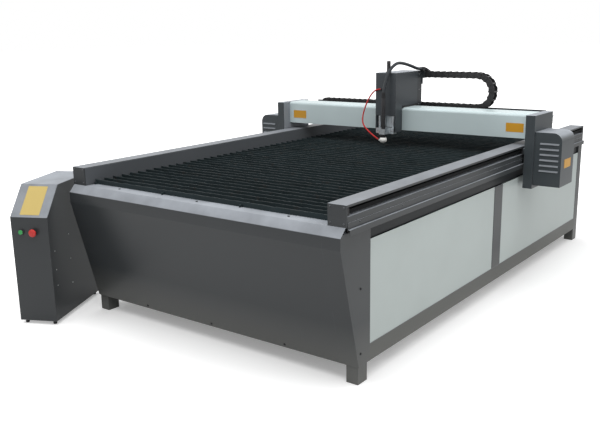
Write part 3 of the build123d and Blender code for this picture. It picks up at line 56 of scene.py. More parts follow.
# Studio: a pale seamless floor, an even white surround, a large soft lamp overhead and a weaker one on
# the right, so that level faces catch the light and the right side is a little brighter than the front.
mm = 0.001
floor_half = 60.0
floor_drop = 0.5 * mm
floor_white = 0.88
floor_rough = 0.9
floor_near = 1.6
floor_far = 3.6
floor_fill = 0.25
surround_level = 0.55
overhead_size = 7.0
overhead_watts = 350.0
overhead_spot = (0.5, -1.2, 5.2)
overhead_target = (0.3, -0.4, 0.8)
side_size = 3.0
side_watts = 16.0
side_spot = (5.0, -1.0, 2.6)
side_target = (0.8, -0.2, 0.5)


def shade(tree, kind, sockets=None, **settings):
    """One shader node; each socket gets a value or another node's output."""
    made = tree.nodes.new("ShaderNode" + kind)
    for name, value in settings.items():
        setattr(made, name, value)
    for key, value in (sockets or {}).items():
        if isinstance(value, bpy.types.NodeSocket):
            tree.links.new(value, made.inputs[key])
        else:
            made.inputs[key].default_value = value
    return made


def rest_place(tree):
    """Where a point lies at rest, in the shared frame."""
    return shade(tree, "TexCoord").outputs["Object"]


def finish(name):
    """A new material with its node tree and its one surface shader."""
    made = bpy.data.materials.new(name)
    made.use_nodes = True
    return made, made.node_tree, made.node_tree.nodes["Principled BSDF"]


scene.view_settings.view_transform = "Standard"
floor_mesh = bpy.data.meshes.new("studio_floor")
floor_signs = ((-1, -1), (1, -1), (1, 1), (-1, 1))
floor_corners = [(x * floor_half, y * floor_half, -floor_drop) for x, y in floor_signs]
floor_mesh.from_pydata(floor_corners, [], [range(4)])
floor = bpy.data.objects.new("studio_floor", floor_mesh)
scene.collection.objects.link(floor)
floor_paper, floor_tree, floor_surface = finish("floor_paper")
floor_surface.inputs["Base Color"].default_value = (floor_white, floor_white, floor_white, 1)
floor_surface.inputs["Roughness"].default_value = floor_rough
floor_surface.inputs["Specular IOR Level"].default_value = 0.0
paper_place = {0: rest_place(floor_tree)}
paper_reach = shade(floor_tree, "VectorMath", paper_place, operation="LENGTH").outputs["Value"]
paper_spans = {"Value": paper_reach, "From Min": floor_near, "From Max": floor_far, "To Min": floor_fill}
paper_fade = shade(floor_tree, "MapRange", paper_spans).outputs["Result"]
paper_seen = shade(floor_tree, "LightPath").outputs["Is Camera Ray"]
paper_glow = shade(floor_tree, "Math", {0: paper_fade, 1: paper_seen}, operation="MULTIPLY")
floor_surface.inputs["Emission Color"].default_value = (1, 1, 1, 1)
floor_tree.links.new(paper_glow.outputs[0], floor_surface.inputs["Emission Strength"])
floor_mesh.materials.append(floor_paper)

world = bpy.data.worlds.new("white_surround")
scene.world = world
world.use_nodes = True
world_tree = world.node_tree
rays = shade(world_tree, "LightPath")
seen = rays.outputs["Is Camera Ray"]
for ray_kind in ("Is Glossy Ray", "Is Transmission Ray"):
    either = {0: seen, 1: rays.outputs[ray_kind]}
    seen = shade(world_tree, "Math", either, operation="MAXIMUM").outputs[0]
level = shade(world_tree, "MapRange", {"Value": seen, "To Min": surround_level, "To Max": 1.0})
surround = world_tree.nodes["Background"]
surround.inputs["Color"].default_value = (1, 1, 1, 1)
world_tree.links.new(level.outputs["Result"], surround.inputs["Strength"])


def soft_lamp(name, spot, target, size, watts):
    """Square soft box at one spot, turned to face another."""
    lamp = bpy.data.lights.new(name, "AREA")
    lamp.size = size
    lamp.energy = watts
    box = bpy.data.objects.new(name, lamp)
    box.location = spot
    box.rotation_euler = (Vector(target) - Vector(spot)).to_track_quat("-Z", "Y").to_euler()
    box.visible_glossy = False
    scene.collection.objects.link(box)


soft_lamp("overhead_soft_box", overhead_spot, overhead_target, overhead_size, overhead_watts)
soft_lamp("right_soft_box", side_spot, side_target, side_size, side_watts)

# Camera: stands ahead of the front right corner at standing height and looks down along the table,
# through a lens of normal length that is held about one degree out of level.
camera_spot = (2.4705, -4.0028, 1.4750)
camera_yaw = radians(36.97)
camera_pitch = radians(13.84)
camera_roll = radians(-0.94)
focal_length = 46.31
sensor_width = 36.0
sight_limit = 200.0
lens = bpy.data.cameras.new("photo_camera")
lens.lens = focal_length
lens.sensor_width = sensor_width
lens.sensor_fit = "HORIZONTAL"
lens.clip_end = sight_limit
camera = bpy.data.objects.new("photo_camera", lens)
level_ahead = Vector((-sin(camera_yaw), cos(camera_yaw), 0))
ahead = level_ahead * cos(camera_pitch) - Vector((0, 0, sin(camera_pitch)))
level_right = Vector((cos(camera_yaw), sin(camera_yaw), 0))
level_up = level_right.cross(ahead)
right = level_right * cos(camera_roll) + level_up * sin(camera_roll)
up = level_up * cos(camera_roll) - level_right * sin(camera_roll)
camera_turn = Matrix((right, up, -ahead)).transposed().to_4x4()
camera.matrix_world = Matrix.Translation(camera_spot) @ camera_turn
scene.collection.objects.link(camera)
scene.camera = camera

# Welded frame: legs, middle posts, side rails and bearers of square tube, sprayed and baked dark grey.
# The coat has a faint orange peel, drifts a little in tone and is rubbed thin on its edges. Faces that look
# up are paler with dust and painted light from above, and the lowest parts with painted light from the
# floor.
# The rails have a duller coat, and the upper ones are darkened with painted shade under the guards.
grey = (0.034, 0.0375, 0.040)
grey_rubbed = (0.13, 0.135, 0.14)
coat_rough = 0.34
coat_shine = 0.35
coat_drift = 0.14
rub_share = 0.6
peel_depth = 0.3 * mm
# Faces that look up, and the beams' inner faces, go toward this pale grey: partly dust, partly painted
# light.
dust_and_light_grey = (0.425, 0.455, 0.50)
lying_dust_and_light = 0.74
floor_light_tone = (0.46, 0.455, 0.41)
post_floor_light = 0.18
post_floor_light_reach = 0.28
rail_floor_light = 0.25
rail_floor_light_reach = 0.60
rail_shine = 0.10
upper_rail_shade = 0.34
shade_edge = 1.0 * mm
tube_edge = 1.5 * mm


def effect(name, inputs, outputs):
    """A shader group with named sockets: its tree, its input node and its output node."""
    tree = bpy.data.node_groups.new(name, "ShaderNodeTree")
    for socket, value in inputs.items():
        kind = "NodeSocketVector" if isinstance(value, tuple) else "NodeSocketFloat"
        tree.interface.new_socket(socket, in_out="INPUT", socket_type=kind).default_value = value
    for socket in outputs:
        tree.interface.new_socket(socket, in_out="OUTPUT", socket_type="NodeSocketFloat")
    return tree, tree.nodes.new("NodeGroupInput"), tree.nodes.new("NodeGroupOutput")


def cloud(tree, place, scale, detail):
    """Smooth noise between 0 and 1 over a place."""
    return shade(tree, "TexNoise", {"Vector": place, "Scale": scale, "Detail": detail}).outputs[0]


def remap(tree, value, low, high, to_low=0.0, to_high=1.0):
    """A value moved from one range to another and held inside it."""
    spans = {"Value": value, "From Min": low, "From Max": high, "To Min": to_low, "To Max": to_high}
    return shade(tree, "MapRange", spans).outputs["Result"]


def combine(tree, first, second, operation):
    """Two values put together by one operation."""
    return shade(tree, "Math", {0: first, 1: second}, operation=operation).outputs[0]


def mix(tree, share, first, second):
    """One colour mixed into another by a share; 6, 7 and 2 are the node's colour sockets."""
    sockets = {0: share}
    for key, colour in ((6, first), (7, second)):
        sockets[key] = colour if isinstance(colour, bpy.types.NodeSocket) else (*colour, 1)
    return shade(tree, "Mix", sockets, data_type="RGBA").outputs[2]


def bumped(tree, surface, height, strength, depth):
    """Gives a surface the fine relief of a height that varies over it."""
    bump = shade(tree, "Bump", {"Height": height, "Strength": strength, "Distance": depth})
    tree.links.new(bump.outputs["Normal"], surface.inputs["Normal"])


def skin_effect(name, grain, drift, detail):
    """A shader group with a fine grain for the bump and a slow drift for the tone."""
    tree, group_in, group_out = effect(name, {"Grain": grain, "Drift": drift}, ["Height", "Tone"])
    place = rest_place(tree)
    tree.links.new(cloud(tree, place, group_in.outputs["Grain"], detail), group_out.inputs["Height"])
    tree.links.new(cloud(tree, place, group_in.outputs["Drift"], 4.0), group_out.inputs["Tone"])
    return tree


# Rubbed edges: where the eased normal leaves the face's own, broken up into patches.
edge_rub, group_in, group_out = effect("edge_rub", {"Width": 0.002, "Patches": 35.0}, ["Mask"])
place = rest_place(edge_rub)
eased = shade(edge_rub, "Bevel", {"Radius": group_in.outputs["Width"]}, samples=4).outputs["Normal"]
face_normal = shade(edge_rub, "NewGeometry").outputs["Normal"]
normals = {0: eased, 1: face_normal}
facing = shade(edge_rub, "VectorMath", normals, operation="DOT_PRODUCT").outputs["Value"]
patchy = remap(edge_rub, cloud(edge_rub, place, group_in.outputs["Patches"], 5.0), 0.42, 0.68)
rubbed = combine(edge_rub, remap(edge_rub, facing, 0.985, 0.8), patchy, "MULTIPLY")
edge_rub.links.new(rubbed, group_out.inputs["Mask"])

# Dust and top light: a thin patchy film on faces that look up, partly settled dust and partly painted light
# from above.
dust_and_top_light, group_in, group_out = effect("dust_and_top_light", {"Amount": 0.2, "Patches": 9.0}, ["Mask"])
place = rest_place(dust_and_top_light)
face_normal = shade(dust_and_top_light, "NewGeometry").outputs["Normal"]
upward = shade(dust_and_top_light, "SeparateXYZ", {0: face_normal}).outputs["Z"]
clumps = cloud(dust_and_top_light, place, group_in.outputs["Patches"], 6.0)
patchy = remap(dust_and_top_light, clumps, 0.2, 0.75, 0.6, 1.0)
lying_and_lit = combine(dust_and_top_light, remap(dust_and_top_light, upward, 0.35, 0.75), patchy, "MULTIPLY")
lying_and_lit = combine(dust_and_top_light, lying_and_lit, group_in.outputs["Amount"], "MULTIPLY")
dust_and_top_light.links.new(lying_and_lit, group_out.inputs["Mask"])

# Coat skin: the orange peel of a sprayed coat.
coat_skin = skin_effect("coat_skin", grain=650.0, drift=2.2, detail=2.0)


def scaled(colour, factor):
    """A colour made lighter or darker."""
    return tuple(channel * factor for channel in colour)


def painted(name, colour, rub_colour, rough, top_dust_and_light, shine=coat_shine):
    """Sprayed coat on sheet and tube steel."""
    made, tree, surface = finish(name)
    surface.inputs["Specular IOR Level"].default_value = shine
    skin = shade(tree, "Group", node_tree=coat_skin)
    worn = shade(tree, "Group", node_tree=edge_rub)
    up_dust_and_light = shade(tree, "Group", {"Amount": top_dust_and_light}, node_tree=dust_and_top_light)
    darker, lighter = scaled(colour, 1 - coat_drift), scaled(colour, 1 + coat_drift)
    tone = mix(tree, skin.outputs["Tone"], darker, lighter)
    tone = mix(tree, combine(tree, worn.outputs["Mask"], rub_share, "MULTIPLY"), tone, rub_colour)
    # Faces that look up are made paler: dust, and painted light from above.
    tone = mix(tree, up_dust_and_light.outputs["Mask"], tone, dust_and_light_grey)
    tree.links.new(tone, surface.inputs["Base Color"])
    gloss = remap(tree, skin.outputs["Tone"], 0.3, 0.7, rough - 0.05, rough + 0.05)
    gloss = combine(tree, gloss, combine(tree, up_dust_and_light.outputs["Mask"], 0.35, "MULTIPLY"), "ADD")
    tree.links.new(gloss, surface.inputs["Roughness"])
    bumped(tree, surface, skin.outputs["Height"], 0.10, peel_depth)
    return made


def dress(name, material, edge=0.0):
    """A frame node in its finish, with its edges eased by a small round."""
    part = nodes[name]
    for slot in part.material_slots:
        slot.material = material
    if edge:
        weld = part.modifiers.new("weld", "WELD")
        weld.merge_threshold = 0.01 * mm
        flat = part.modifiers.new("flat_faces", "DECIMATE")
        flat.decimate_type = "DISSOLVE"
        flat.angle_limit = radians(0.5)
        ease = part.modifiers.new("eased_edges", "BEVEL")
        ease.width = edge
        ease.segments = 2
        ease.limit_method = "ANGLE"
        ease.angle_limit = radians(32)
        ease.harden_normals = True
    return part


def overlaid(material, share, colour):
    """One more colour laid over a coat, by a share worked out in its own tree."""
    tree = material.node_tree
    base = tree.nodes["Principled BSDF"].inputs["Base Color"]
    tree.links.new(mix(tree, share, base.links[0].from_socket, colour), base)


def place_on(tree, axis):
    """How far along one axis of the shared frame a point lies at rest."""
    return shade(tree, "SeparateXYZ", {0: rest_place(tree)}).outputs[axis]


def floor_light_painted(name, share, reach, shine):
    """The grey coat made paler towards the floor with painted light from it, thinning out up to a reach."""
    made = painted(name, grey, grey_rubbed, coat_rough, lying_dust_and_light, shine)
    height = place_on(made.node_tree, "Z")
    overlaid(made, remap(made.node_tree, height, 0.0, reach, share, 0.0), floor_light_tone)
    return made


grey_coat = painted("grey_coat", grey, grey_rubbed, coat_rough, lying_dust_and_light)
# Painted light from the floor makes the posts, rails and apron paler towards their feet.
frame_coat = floor_light_painted("frame_coat", post_floor_light, post_floor_light_reach, coat_shine)
rail_coat = floor_light_painted("rail_coat", rail_floor_light, rail_floor_light_reach, rail_shine)
panel_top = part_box("frame_panels")[1].z
# Painted shade: above the panels' top the upper rails are darkened, as if in the shade of the guards.
height = place_on(rail_coat.node_tree, "Z")
guard_shade = remap(rail_coat.node_tree, height, panel_top - shade_edge, panel_top, 0.0, upper_rail_shade)
overlaid(rail_coat, guard_shade, (0, 0, 0))
dress("frame_posts", frame_coat, tube_edge)
dress("frame_rails", rail_coat, tube_edge)
dress("cross_bearers", frame_coat, tube_edge)

# Cladding: pale sheets of thin steel, set just inside the frame's faces. A row of small blind rivets
# along the upper and the lower edge holds each sheet, sprayed white with it.
white = (0.405, 0.452, 0.441)
white_rubbed = (0.58, 0.61, 0.60)
white_rough = 0.36
sheet_edge = 0.5 * mm
rivet_r = 3.2 * mm
rivet_h = 1.2 * mm
rivet_step = 0.22
rivet_inset = 0.016
rivet_sides = 12


def turned(bm, outline, place, steps):
    """Adds a lathe form: (radius, height) points turned about the local Z of a place."""
    rings = []
    for radius, height in outline:
        if radius == 0:
            rings.append([bm.verts.new(place @ Vector((0, 0, height)))])
            continue
        angles = [2 * pi * step / steps for step in range(steps)]
        spots = [Vector((radius * cos(angle), radius * sin(angle), height)) for angle in angles]
        rings.append([bm.verts.new(place @ spot) for spot in spots])
    for lower, upper in zip(rings, rings[1:]):
        for step in range(steps):
            after = (step + 1) % steps
            corners = [lower[step % len(lower)], lower[after % len(lower)]]
            corners += [upper[after % len(upper)], upper[step % len(upper)]]
            bm.faces.new(dict.fromkeys(corners))


def sized(outline, radius, height):
    """A lathe outline brought to its size from shares or from millimetres."""
    return [(r * radius, h * height) for r, h in outline]


def facing_place(spot, axis):
    """Place at a spot whose local Z points along an axis."""
    return Matrix.Translation(spot) @ Vector(axis).to_track_quat("Z", "Y").to_matrix().to_4x4()


def piece(name, bm, material, body, sharp=35):
    """A finished mesh that rides on a body."""
    bmesh.ops.recalc_face_normals(bm, faces=bm.faces)
    mesh = bpy.data.meshes.new(name)
    bm.to_mesh(mesh)
    bm.free()
    mesh.shade_smooth()
    mesh.set_sharp_from_angle(angle=radians(sharp))
    mesh.materials.append(material)
    made = bpy.data.objects.new(name, mesh)
    scene.collection.objects.link(made)
    if body:
        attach(made, body)
    return made


def solids(name):
    """Corners of each separate solid in a node, as a list of point lists."""
    mesh = nodes[name].data
    spots = [tuple(round(value, 5) for value in vert.co) for vert in mesh.vertices]
    root = {spot: spot for spot in spots}

    def find(spot):
        while root[spot] != spot:
            root[spot] = root[root[spot]]
            spot = root[spot]
        return spot

    for edge in mesh.edges:
        root[find(spots[edge.vertices[0]])] = find(spots[edge.vertices[1]])
    groups = {}
    for spot in root:
        groups.setdefault(find(spot), []).append(Vector(spot))
    return [groups[key] for key in sorted(groups)]


def box_of(points):
    """Lowest and highest corner of some points."""
    low = Vector([min(point[axis] for point in points) for axis in range(3)])
    high = Vector([max(point[axis] for point in points) for axis in range(3)])
    return low, high


def side_of(spot):
    """Plus one on the right side of the table, minus one on the left."""
    return 1 if spot.x > 0 else -1


def spaced(low, high, step):
    """Even places from low to high, about a step apart."""
    count = max(1, ceil((high - low) / step))
    return [low + (high - low) * index / count for index in range(count + 1)]


white_coat = painted("white_coat", white, white_rubbed, white_rough, top_dust_and_light=0.0)
dress("frame_panels", white_coat, sheet_edge)
rivet_line = [(1, 0), (1, 0.3), (0.8, 0.8), (0.3, 1), (0.28, 0.7), (0, 0.7)]
bm = bmesh.new()
for panel in solids("frame_panels"):
    low, high = box_of(panel)
    if high.x - low.x > high.y - low.y:
        across, face, out = 0, Vector((0, high.y, 0)), Vector((0, 1, 0))
    else:
        side = side_of(low)
        across, face, out = 1, Vector((high.x if side > 0 else low.x, 0, 0)), Vector((side, 0, 0))
    for along in spaced(low[across] + rivet_inset, high[across] - rivet_inset, rivet_step):
        for height in (low.z + rivet_inset, high.z - rivet_inset):
            spot = face.copy()
            spot[across] = along
            spot.z = height
            turned(bm, sized(rivet_line, rivet_r, rivet_h), facing_place(spot, out), rivet_sides)
piece("panel_rivets", bm, white_coat, "table")

# Front apron: one sheet of steel folded on a brake into a level flange between the beams, a sloping lip, a
# short fascia and a long panel that leans in. The folds keep the round of the tool. Cheeks close its ends.
sheet = 2.0 * mm
fold_r = 5.0 * mm
lip_run = 37.0 * mm
fascia_h = 51.0 * mm
fold_steps = 6


def mitred(line, distance):
    """A line moved to its left by a distance, with its corners kept sharp."""
    normals = [(end - start).normalized() for start, end in zip(line, line[1:])]
    normals = [Vector((-run.y, run.x)) for run in normals]
    moved = []
    for index, point in enumerate(line):
        before = normals[max(index - 1, 0)]
        after = normals[min(index, len(normals) - 1)]
        moved.append(point + (before + after) * (distance / (1 + before.dot(after))))
    return moved


def rounded_line(line, radius):
    """The line with each inner corner turned into an arc."""
    points = [line[0]]
    for before, corner, after in zip(line, line[1:], line[2:]):
        back = (before - corner).normalized()
        on = (after - corner).normalized()
        half_turn = back.angle(on) / 2
        reach = radius / tan(half_turn)
        centre = corner + (back + on).normalized() * (radius / sin(half_turn))
        start = corner + back * reach - centre
        turn = start.angle_signed(corner + on * reach - centre)
        for step in range(fold_steps + 1):
            angle = -turn * step / fold_steps
            points.append(centre + Matrix.Rotation(angle, 2) @ start)
    return points + [line[-1]]


def folded_sheet(bm, line, thickness, radius, place, width):
    """Adds a folded sheet: the line is its outer side, seen along the local X of a place."""
    middle = rounded_line(mitred(line, thickness / 2), radius)
    sides = (mitred(middle, -thickness / 2), mitred(middle, thickness / 2))
    ends = []
    for x in (-width / 2, width / 2):
        ends.append([[bm.verts.new(place @ Vector((x, *point))) for point in side] for side in sides])
    for index in range(len(middle) - 1):
        for end in ends:
            bm.faces.new((end[0][index], end[0][index + 1], end[1][index + 1], end[1][index]))
        for side in (0, 1):
            near, far = ends[0][side], ends[1][side]
            bm.faces.new((near[index], near[index + 1], far[index + 1], far[index]))
    for index in (0, -1):
        bm.faces.new((ends[0][0][index], ends[0][1][index], ends[1][1][index], ends[1][0][index]))


apron_low, apron_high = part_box("front_apron")
beam_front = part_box("beam_end_plates")[0].y
beam_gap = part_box("bed_slats")[1].x
lip_top = Vector((beam_front, apron_high.z))
fascia_top = Vector((apron_low.y, apron_high.z - lip_run))
apron_foot = Vector((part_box("frame_posts")[0].y - 2 * sheet, apron_low.z))
apron_line = [lip_top, fascia_top, fascia_top - Vector((0, fascia_h)), apron_foot]
flange_back = Vector((apron_high.y, apron_high.z))
bm = bmesh.new()
folded_sheet(bm, [flange_back] + apron_line, sheet, fold_r, Matrix.Identity(4), 2 * beam_gap)
lap = apron_high.x - beam_gap
for side in (-1, 1):
    lap_place = Matrix.Translation((side * (beam_gap + lap / 2), 0, 0))
    folded_sheet(bm, apron_line, sheet, fold_r, lap_place, lap)
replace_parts(piece("folded_apron", bm, frame_coat, "table"), "front_apron")
dress("apron_cheeks", frame_coat, sheet_edge)

# Fasteners: blackened button heads with hexagon sockets along the apron's flange, its foot and the cheeks.
# Smaller ones hold end plates, guards, covers and fittings, zinc-plated or sprayed with the sheet.
head_r = 6.0 * mm
head_share = 0.5
socket_share = 0.45
line_depth = 0.05 * mm
tumbled_stroke = (700.0, 700.0, 700.0)


def stacked(bm, rings, place):
    """Adds a solid through rings of local points, closed at both ends."""
    made = [[bm.verts.new(place @ Vector(spot)) for spot in ring] for ring in rings]
    for lower, upper in zip(made, made[1:]):
        for index in range(len(lower)):
            after = (index + 1) % len(lower)
            bm.faces.new((lower[index], lower[after], upper[after], upper[index]))
    bm.faces.new(made[0])
    bm.faces.new(made[-1])


def circle(radius, level, steps):
    """Points of a circle about the middle, at one level."""
    angles = [2 * pi * step / steps for step in range(steps)]
    return [(radius * cos(angle), radius * sin(angle), level) for angle in angles]


def hexagon(radius, level, steps):
    """As many points on a hexagon, in the same order."""
    points = []
    for x, y, z in circle(radius, level, steps):
        off = atan2(y, x) % (pi / 3) - pi / 6
        points.append((x * cos(pi / 6) / cos(off), y * cos(pi / 6) / cos(off), z))
    return points


def button_head(bm, place, radius, steps=24):
    """Adds a button-head screw seated at a place, with its hexagon socket."""
    height = head_share * radius
    crown = ((1.0, 0.0), (1.0, 0.3), (0.92, 0.62), (0.75, 0.88), (0.6, 1.0))
    rings = [circle(share * radius, rise * height, steps) for share, rise in crown]
    rings += [hexagon(socket_share * radius, rise * height, steps) for rise in (1.0, 0.35)]
    stacked(bm, rings, place)


# Tool marks: fine lines drawn along the last stroke, and slow stains.
stroke_size = {"Stroke": (900.0, 900.0, 900.0)}
tool_marks, group_in, group_out = effect("tool_marks", stroke_size, ["Lines", "Stain"])
place = rest_place(tool_marks)
strokes = {0: place, 1: group_in.outputs["Stroke"]}
drawn = shade(tool_marks, "VectorMath", strokes, operation="MULTIPLY").outputs[0]
tool_marks.links.new(cloud(tool_marks, drawn, 1.0, 3.0), group_out.inputs["Lines"])
tool_marks.links.new(cloud(tool_marks, place, 26.0, 5.0), group_out.inputs["Stain"])


def metal(name, colour, rough, stroke, depth):
    """Bare or plated metal with the fine lines that its last tool left."""
    made, tree, surface = finish(name)
    marks = shade(tree, "Group", {"Stroke": stroke}, node_tree=tool_marks)
    worn = shade(tree, "Group", {"Width": 0.0012, "Patches": 90.0}, node_tree=edge_rub)
    tone = mix(tree, marks.outputs["Stain"], scaled(colour, 0.8), scaled(colour, 1.1))
    tone = mix(tree, combine(tree, worn.outputs["Mask"], 0.5, "MULTIPLY"), tone, scaled(colour, 1.35))
    tree.links.new(tone, surface.inputs["Base Color"])
    surface.inputs["Metallic"].default_value = 1.0
    gloss = remap(tree, marks.outputs["Lines"], 0.25, 0.75, rough - 0.07, rough + 0.09)
    tree.links.new(gloss, surface.inputs["Roughness"])
    bumped(tree, surface, marks.outputs["Lines"], depth, line_depth)
    return made


blackened = metal("blackened", (0.045, 0.046, 0.048), rough=0.42, stroke=tumbled_stroke, depth=0.15)
zinc_plate = metal("zinc_plate", (0.50, 0.51, 0.52), rough=0.38, stroke=tumbled_stroke, depth=0.15)
panel_lean = (apron_line[3] - apron_line[2]).normalized()
panel_out = Vector((0, panel_lean.y, -panel_lean.x))
bm = bmesh.new()
for screw in solids("panel_screws"):
    low, high = box_of(screw)
    middle = (low + high) / 2
    if high.x - low.x < head_r:
        out = Vector((side_of(middle), 0, 0))
    elif middle.z > apron_high.z:
        out = Vector((0, 0, 1))
    else:
        out = panel_out
    button_head(bm, facing_place(middle - out * head_share * head_r / 2, out), head_r)
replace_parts(piece("apron_screws", bm, blackened, "table"), "panel_screws")

# Side beams: welded hollow sections with a sheet cover on top and plates that close their ends, in the same
# grey coat, with painted light on their inner faces. Four small screws hold each end plate.
end_screw_r = 4.0 * mm
end_screw_inset = 0.013
small_head_sides = 18
beam_inner_light = 0.14
cover_dust_and_light = 0.45
cover_edge = 0.8 * mm
end_plate_edge = 1.0 * mm


def inner_faces_painted_light(name, colour, share):
    """A coat with painted light: the faces that look to the middle of the table are made paler."""
    made = painted(name, colour, grey_rubbed, coat_rough, lying_dust_and_light)
    tree = made.node_tree
    across = place_on(tree, "X")
    face_normal = shade(tree, "NewGeometry").outputs["Normal"]
    turned_to = shade(tree, "SeparateXYZ", {0: face_normal}).outputs["X"]
    outward = combine(tree, across, turned_to, "MULTIPLY")
    overlaid(made, remap(tree, outward, -0.3, -0.6, 0.0, share), dust_and_light_grey)
    return made


dress("side_beams", inner_faces_painted_light("beam_coat", grey, beam_inner_light), tube_edge)
# The covers get a smaller share of dust and painted light from above than the frame.
cover_coat = painted("beam_cover_coat", grey, grey_rubbed, coat_rough, cover_dust_and_light)
dress("beam_covers", cover_coat, cover_edge)
dress("beam_end_plates", grey_coat, end_plate_edge)
bm = bmesh.new()
for plate in solids("beam_end_plates"):
    low, high = box_of(plate)
    out = Vector((0, -1 if low.y < 0 else 1, 0))
    for x in (low.x + end_screw_inset, high.x - end_screw_inset):
        for z in (low.z + end_screw_inset, high.z - end_screw_inset):
            spot = Vector((x, low.y if low.y < 0 else high.y, z))
            button_head(bm, facing_place(spot, out), end_screw_r, small_head_sides)
piece("beam_end_screws", bm, grey_coat, "table")

# Guide rails: hardened steel drawn near black and almost without shine, bolted down every 60 mm with a plug
# over each bolt.
# Racks are milled and oiled. Rubber stops close the rails' ends, and folded guards hang outside the racks.
plug_step = 0.060
plug_r = 4.4 * mm
plug_proud = 0.12 * mm
guard_screw_step = 0.36
guard_screw_r = 4.0 * mm
guard_screw_drop = 0.010
rail_edge = 0.4 * mm
stop_edge = 3.0 * mm
pore_depth = 0.2 * mm
plug_sides = 14
ground_stroke = (600.0, 8.0, 600.0)
milled_stroke = (500.0, 500.0, 500.0)
guide_steel = metal("guide_steel", (0.60, 0.61, 0.62), rough=0.22, stroke=ground_stroke, depth=0.12)
gear_steel = metal("gear_steel", (0.24, 0.24, 0.245), rough=0.36, stroke=milled_stroke, depth=0.25)

# Mould grain: the fine skin of a moulding.
mould_grain = skin_effect("mould_grain", grain=1500.0, drift=18.0, detail=3.0)


def moulded(name, colour, rough, grain, depth):
    """Moulded plastic or rubber: fine skin grain, slow drift in tone and paler rubbed edges."""
    made, tree, surface = finish(name)
    skin = shade(tree, "Group", {"Grain": grain}, node_tree=mould_grain)
    worn = shade(tree, "Group", {"Width": 0.001, "Patches": 120.0}, node_tree=edge_rub)
    tone = mix(tree, skin.outputs["Tone"], scaled(colour, 0.78), scaled(colour, 1.22))
    tone = mix(tree, combine(tree, worn.outputs["Mask"], 0.4, "MULTIPLY"), tone, scaled(colour, 2.2))
    tree.links.new(tone, surface.inputs["Base Color"])
    gloss = remap(tree, skin.outputs["Tone"], 0.3, 0.7, rough - 0.06, rough + 0.06)
    tree.links.new(gloss, surface.inputs["Roughness"])
    bumped(tree, surface, skin.outputs["Height"], depth, pore_depth)
    return made


def dished_plug(bm, spot, out):
    """Adds a plug over a rail bolt: a thin disc with a dished middle."""
    plug_line = [(1, 0), (1, 1), (0.8, 1), (0.7, 0.3), (0, 0.3)]
    turned(bm, sized(plug_line, plug_r, plug_proud), facing_place(spot, out), plug_sides)


black_plastic = moulded("black_plastic", (0.018, 0.018, 0.020), rough=0.42, grain=1500.0, depth=0.2)
soft_rubber = moulded("soft_rubber", (0.016, 0.016, 0.017), rough=0.68, grain=900.0, depth=0.3)
rail_black = moulded("rail_black", (0.007, 0.0075, 0.008), rough=0.6, grain=700.0, depth=0.1)
rail_black.node_tree.nodes["Principled BSDF"].inputs["Specular IOR Level"].default_value = 0.05
dress("side_rails", rail_black, rail_edge)
dress("rail_stops", soft_rubber, stop_edge)
dress("side_racks", gear_steel)
dress("rack_guards", grey_coat, sheet_edge)
bm = bmesh.new()
for rail in solids("side_rails"):
    low, high = box_of(rail)
    out = Vector((side_of(low), 0, 0))
    for along in spaced(low.y + plug_step / 2, high.y - plug_step / 2, plug_step):
        dished_plug(bm, Vector((high.x if low.x > 0 else low.x, along, (low.z + high.z) / 2)), out)
piece("side_rail_plugs", bm, rail_black, "table")
bm = bmesh.new()
beam_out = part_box("beam_covers")[1].x
for guard in solids("rack_guards"):
    low, high = box_of(guard)
    side = side_of(low)
    for along in spaced(low.y + guard_screw_step / 4, high.y - guard_screw_step / 4, guard_screw_step):
        spot = Vector((side * (beam_out + sheet), along, high.z - guard_screw_drop))
        button_head(bm, facing_place(spot, (side, 0, 0)), guard_screw_r, small_head_sides)
piece("guard_screws", bm, grey_coat, "table")

# Bed: plain steel slats on edge in slotted combs, over two slag pans. Hot-rolled scale, green-black,
# with pale scorched and cut top edges, a bloom of rust and grey slag dust.
slat_step = 0.022
slat_bow = 5.0 * mm
bow_waves = 3.0
bow_shift = 7.3
nick_depth = 4.0 * mm
nick_waves = 26.0
nick_shift = 3.1
tray_edge = 0.6 * mm
scale_black = (0.0095, 0.0165, 0.018)
scale_blue = (0.021, 0.033, 0.037)
rust = (0.060, 0.034, 0.020)
slag_grey = (0.11, 0.118, 0.12)
pit_depth = 0.4 * mm

# Heat marks: bloom and rust over the whole slat, burns in a band along its top edge, and scale pits.
mark_sizes = {"Mottle": 7.0, "Top": 0.74, "Band": 0.006}
heat_marks, group_in, group_out = effect("heat_marks", mark_sizes, ["Bloom", "Rust", "Burn", "Pits"])
place = rest_place(heat_marks)
height = shade(heat_marks, "SeparateXYZ", {0: place}).outputs["Z"]
below = combine(heat_marks, group_in.outputs["Top"], height, "SUBTRACT")
bands_below = combine(heat_marks, below, group_in.outputs["Band"], "DIVIDE")
near_top = remap(heat_marks, bands_below, 0.0, 1.0, 1.0, 0.0)
bites = remap(heat_marks, cloud(heat_marks, place, 55.0, 4.0), 0.40, 0.62)
heat_marks.links.new(combine(heat_marks, near_top, bites, "MULTIPLY"), group_out.inputs["Burn"])
heat_marks.links.new(cloud(heat_marks, place, group_in.outputs["Mottle"], 6.0), group_out.inputs["Bloom"])
spots = remap(heat_marks, cloud(heat_marks, place, 21.0, 7.0), 0.60, 0.74)
heat_marks.links.new(spots, group_out.inputs["Rust"])
heat_marks.links.new(cloud(heat_marks, place, 340.0, 4.0), group_out.inputs["Pits"])

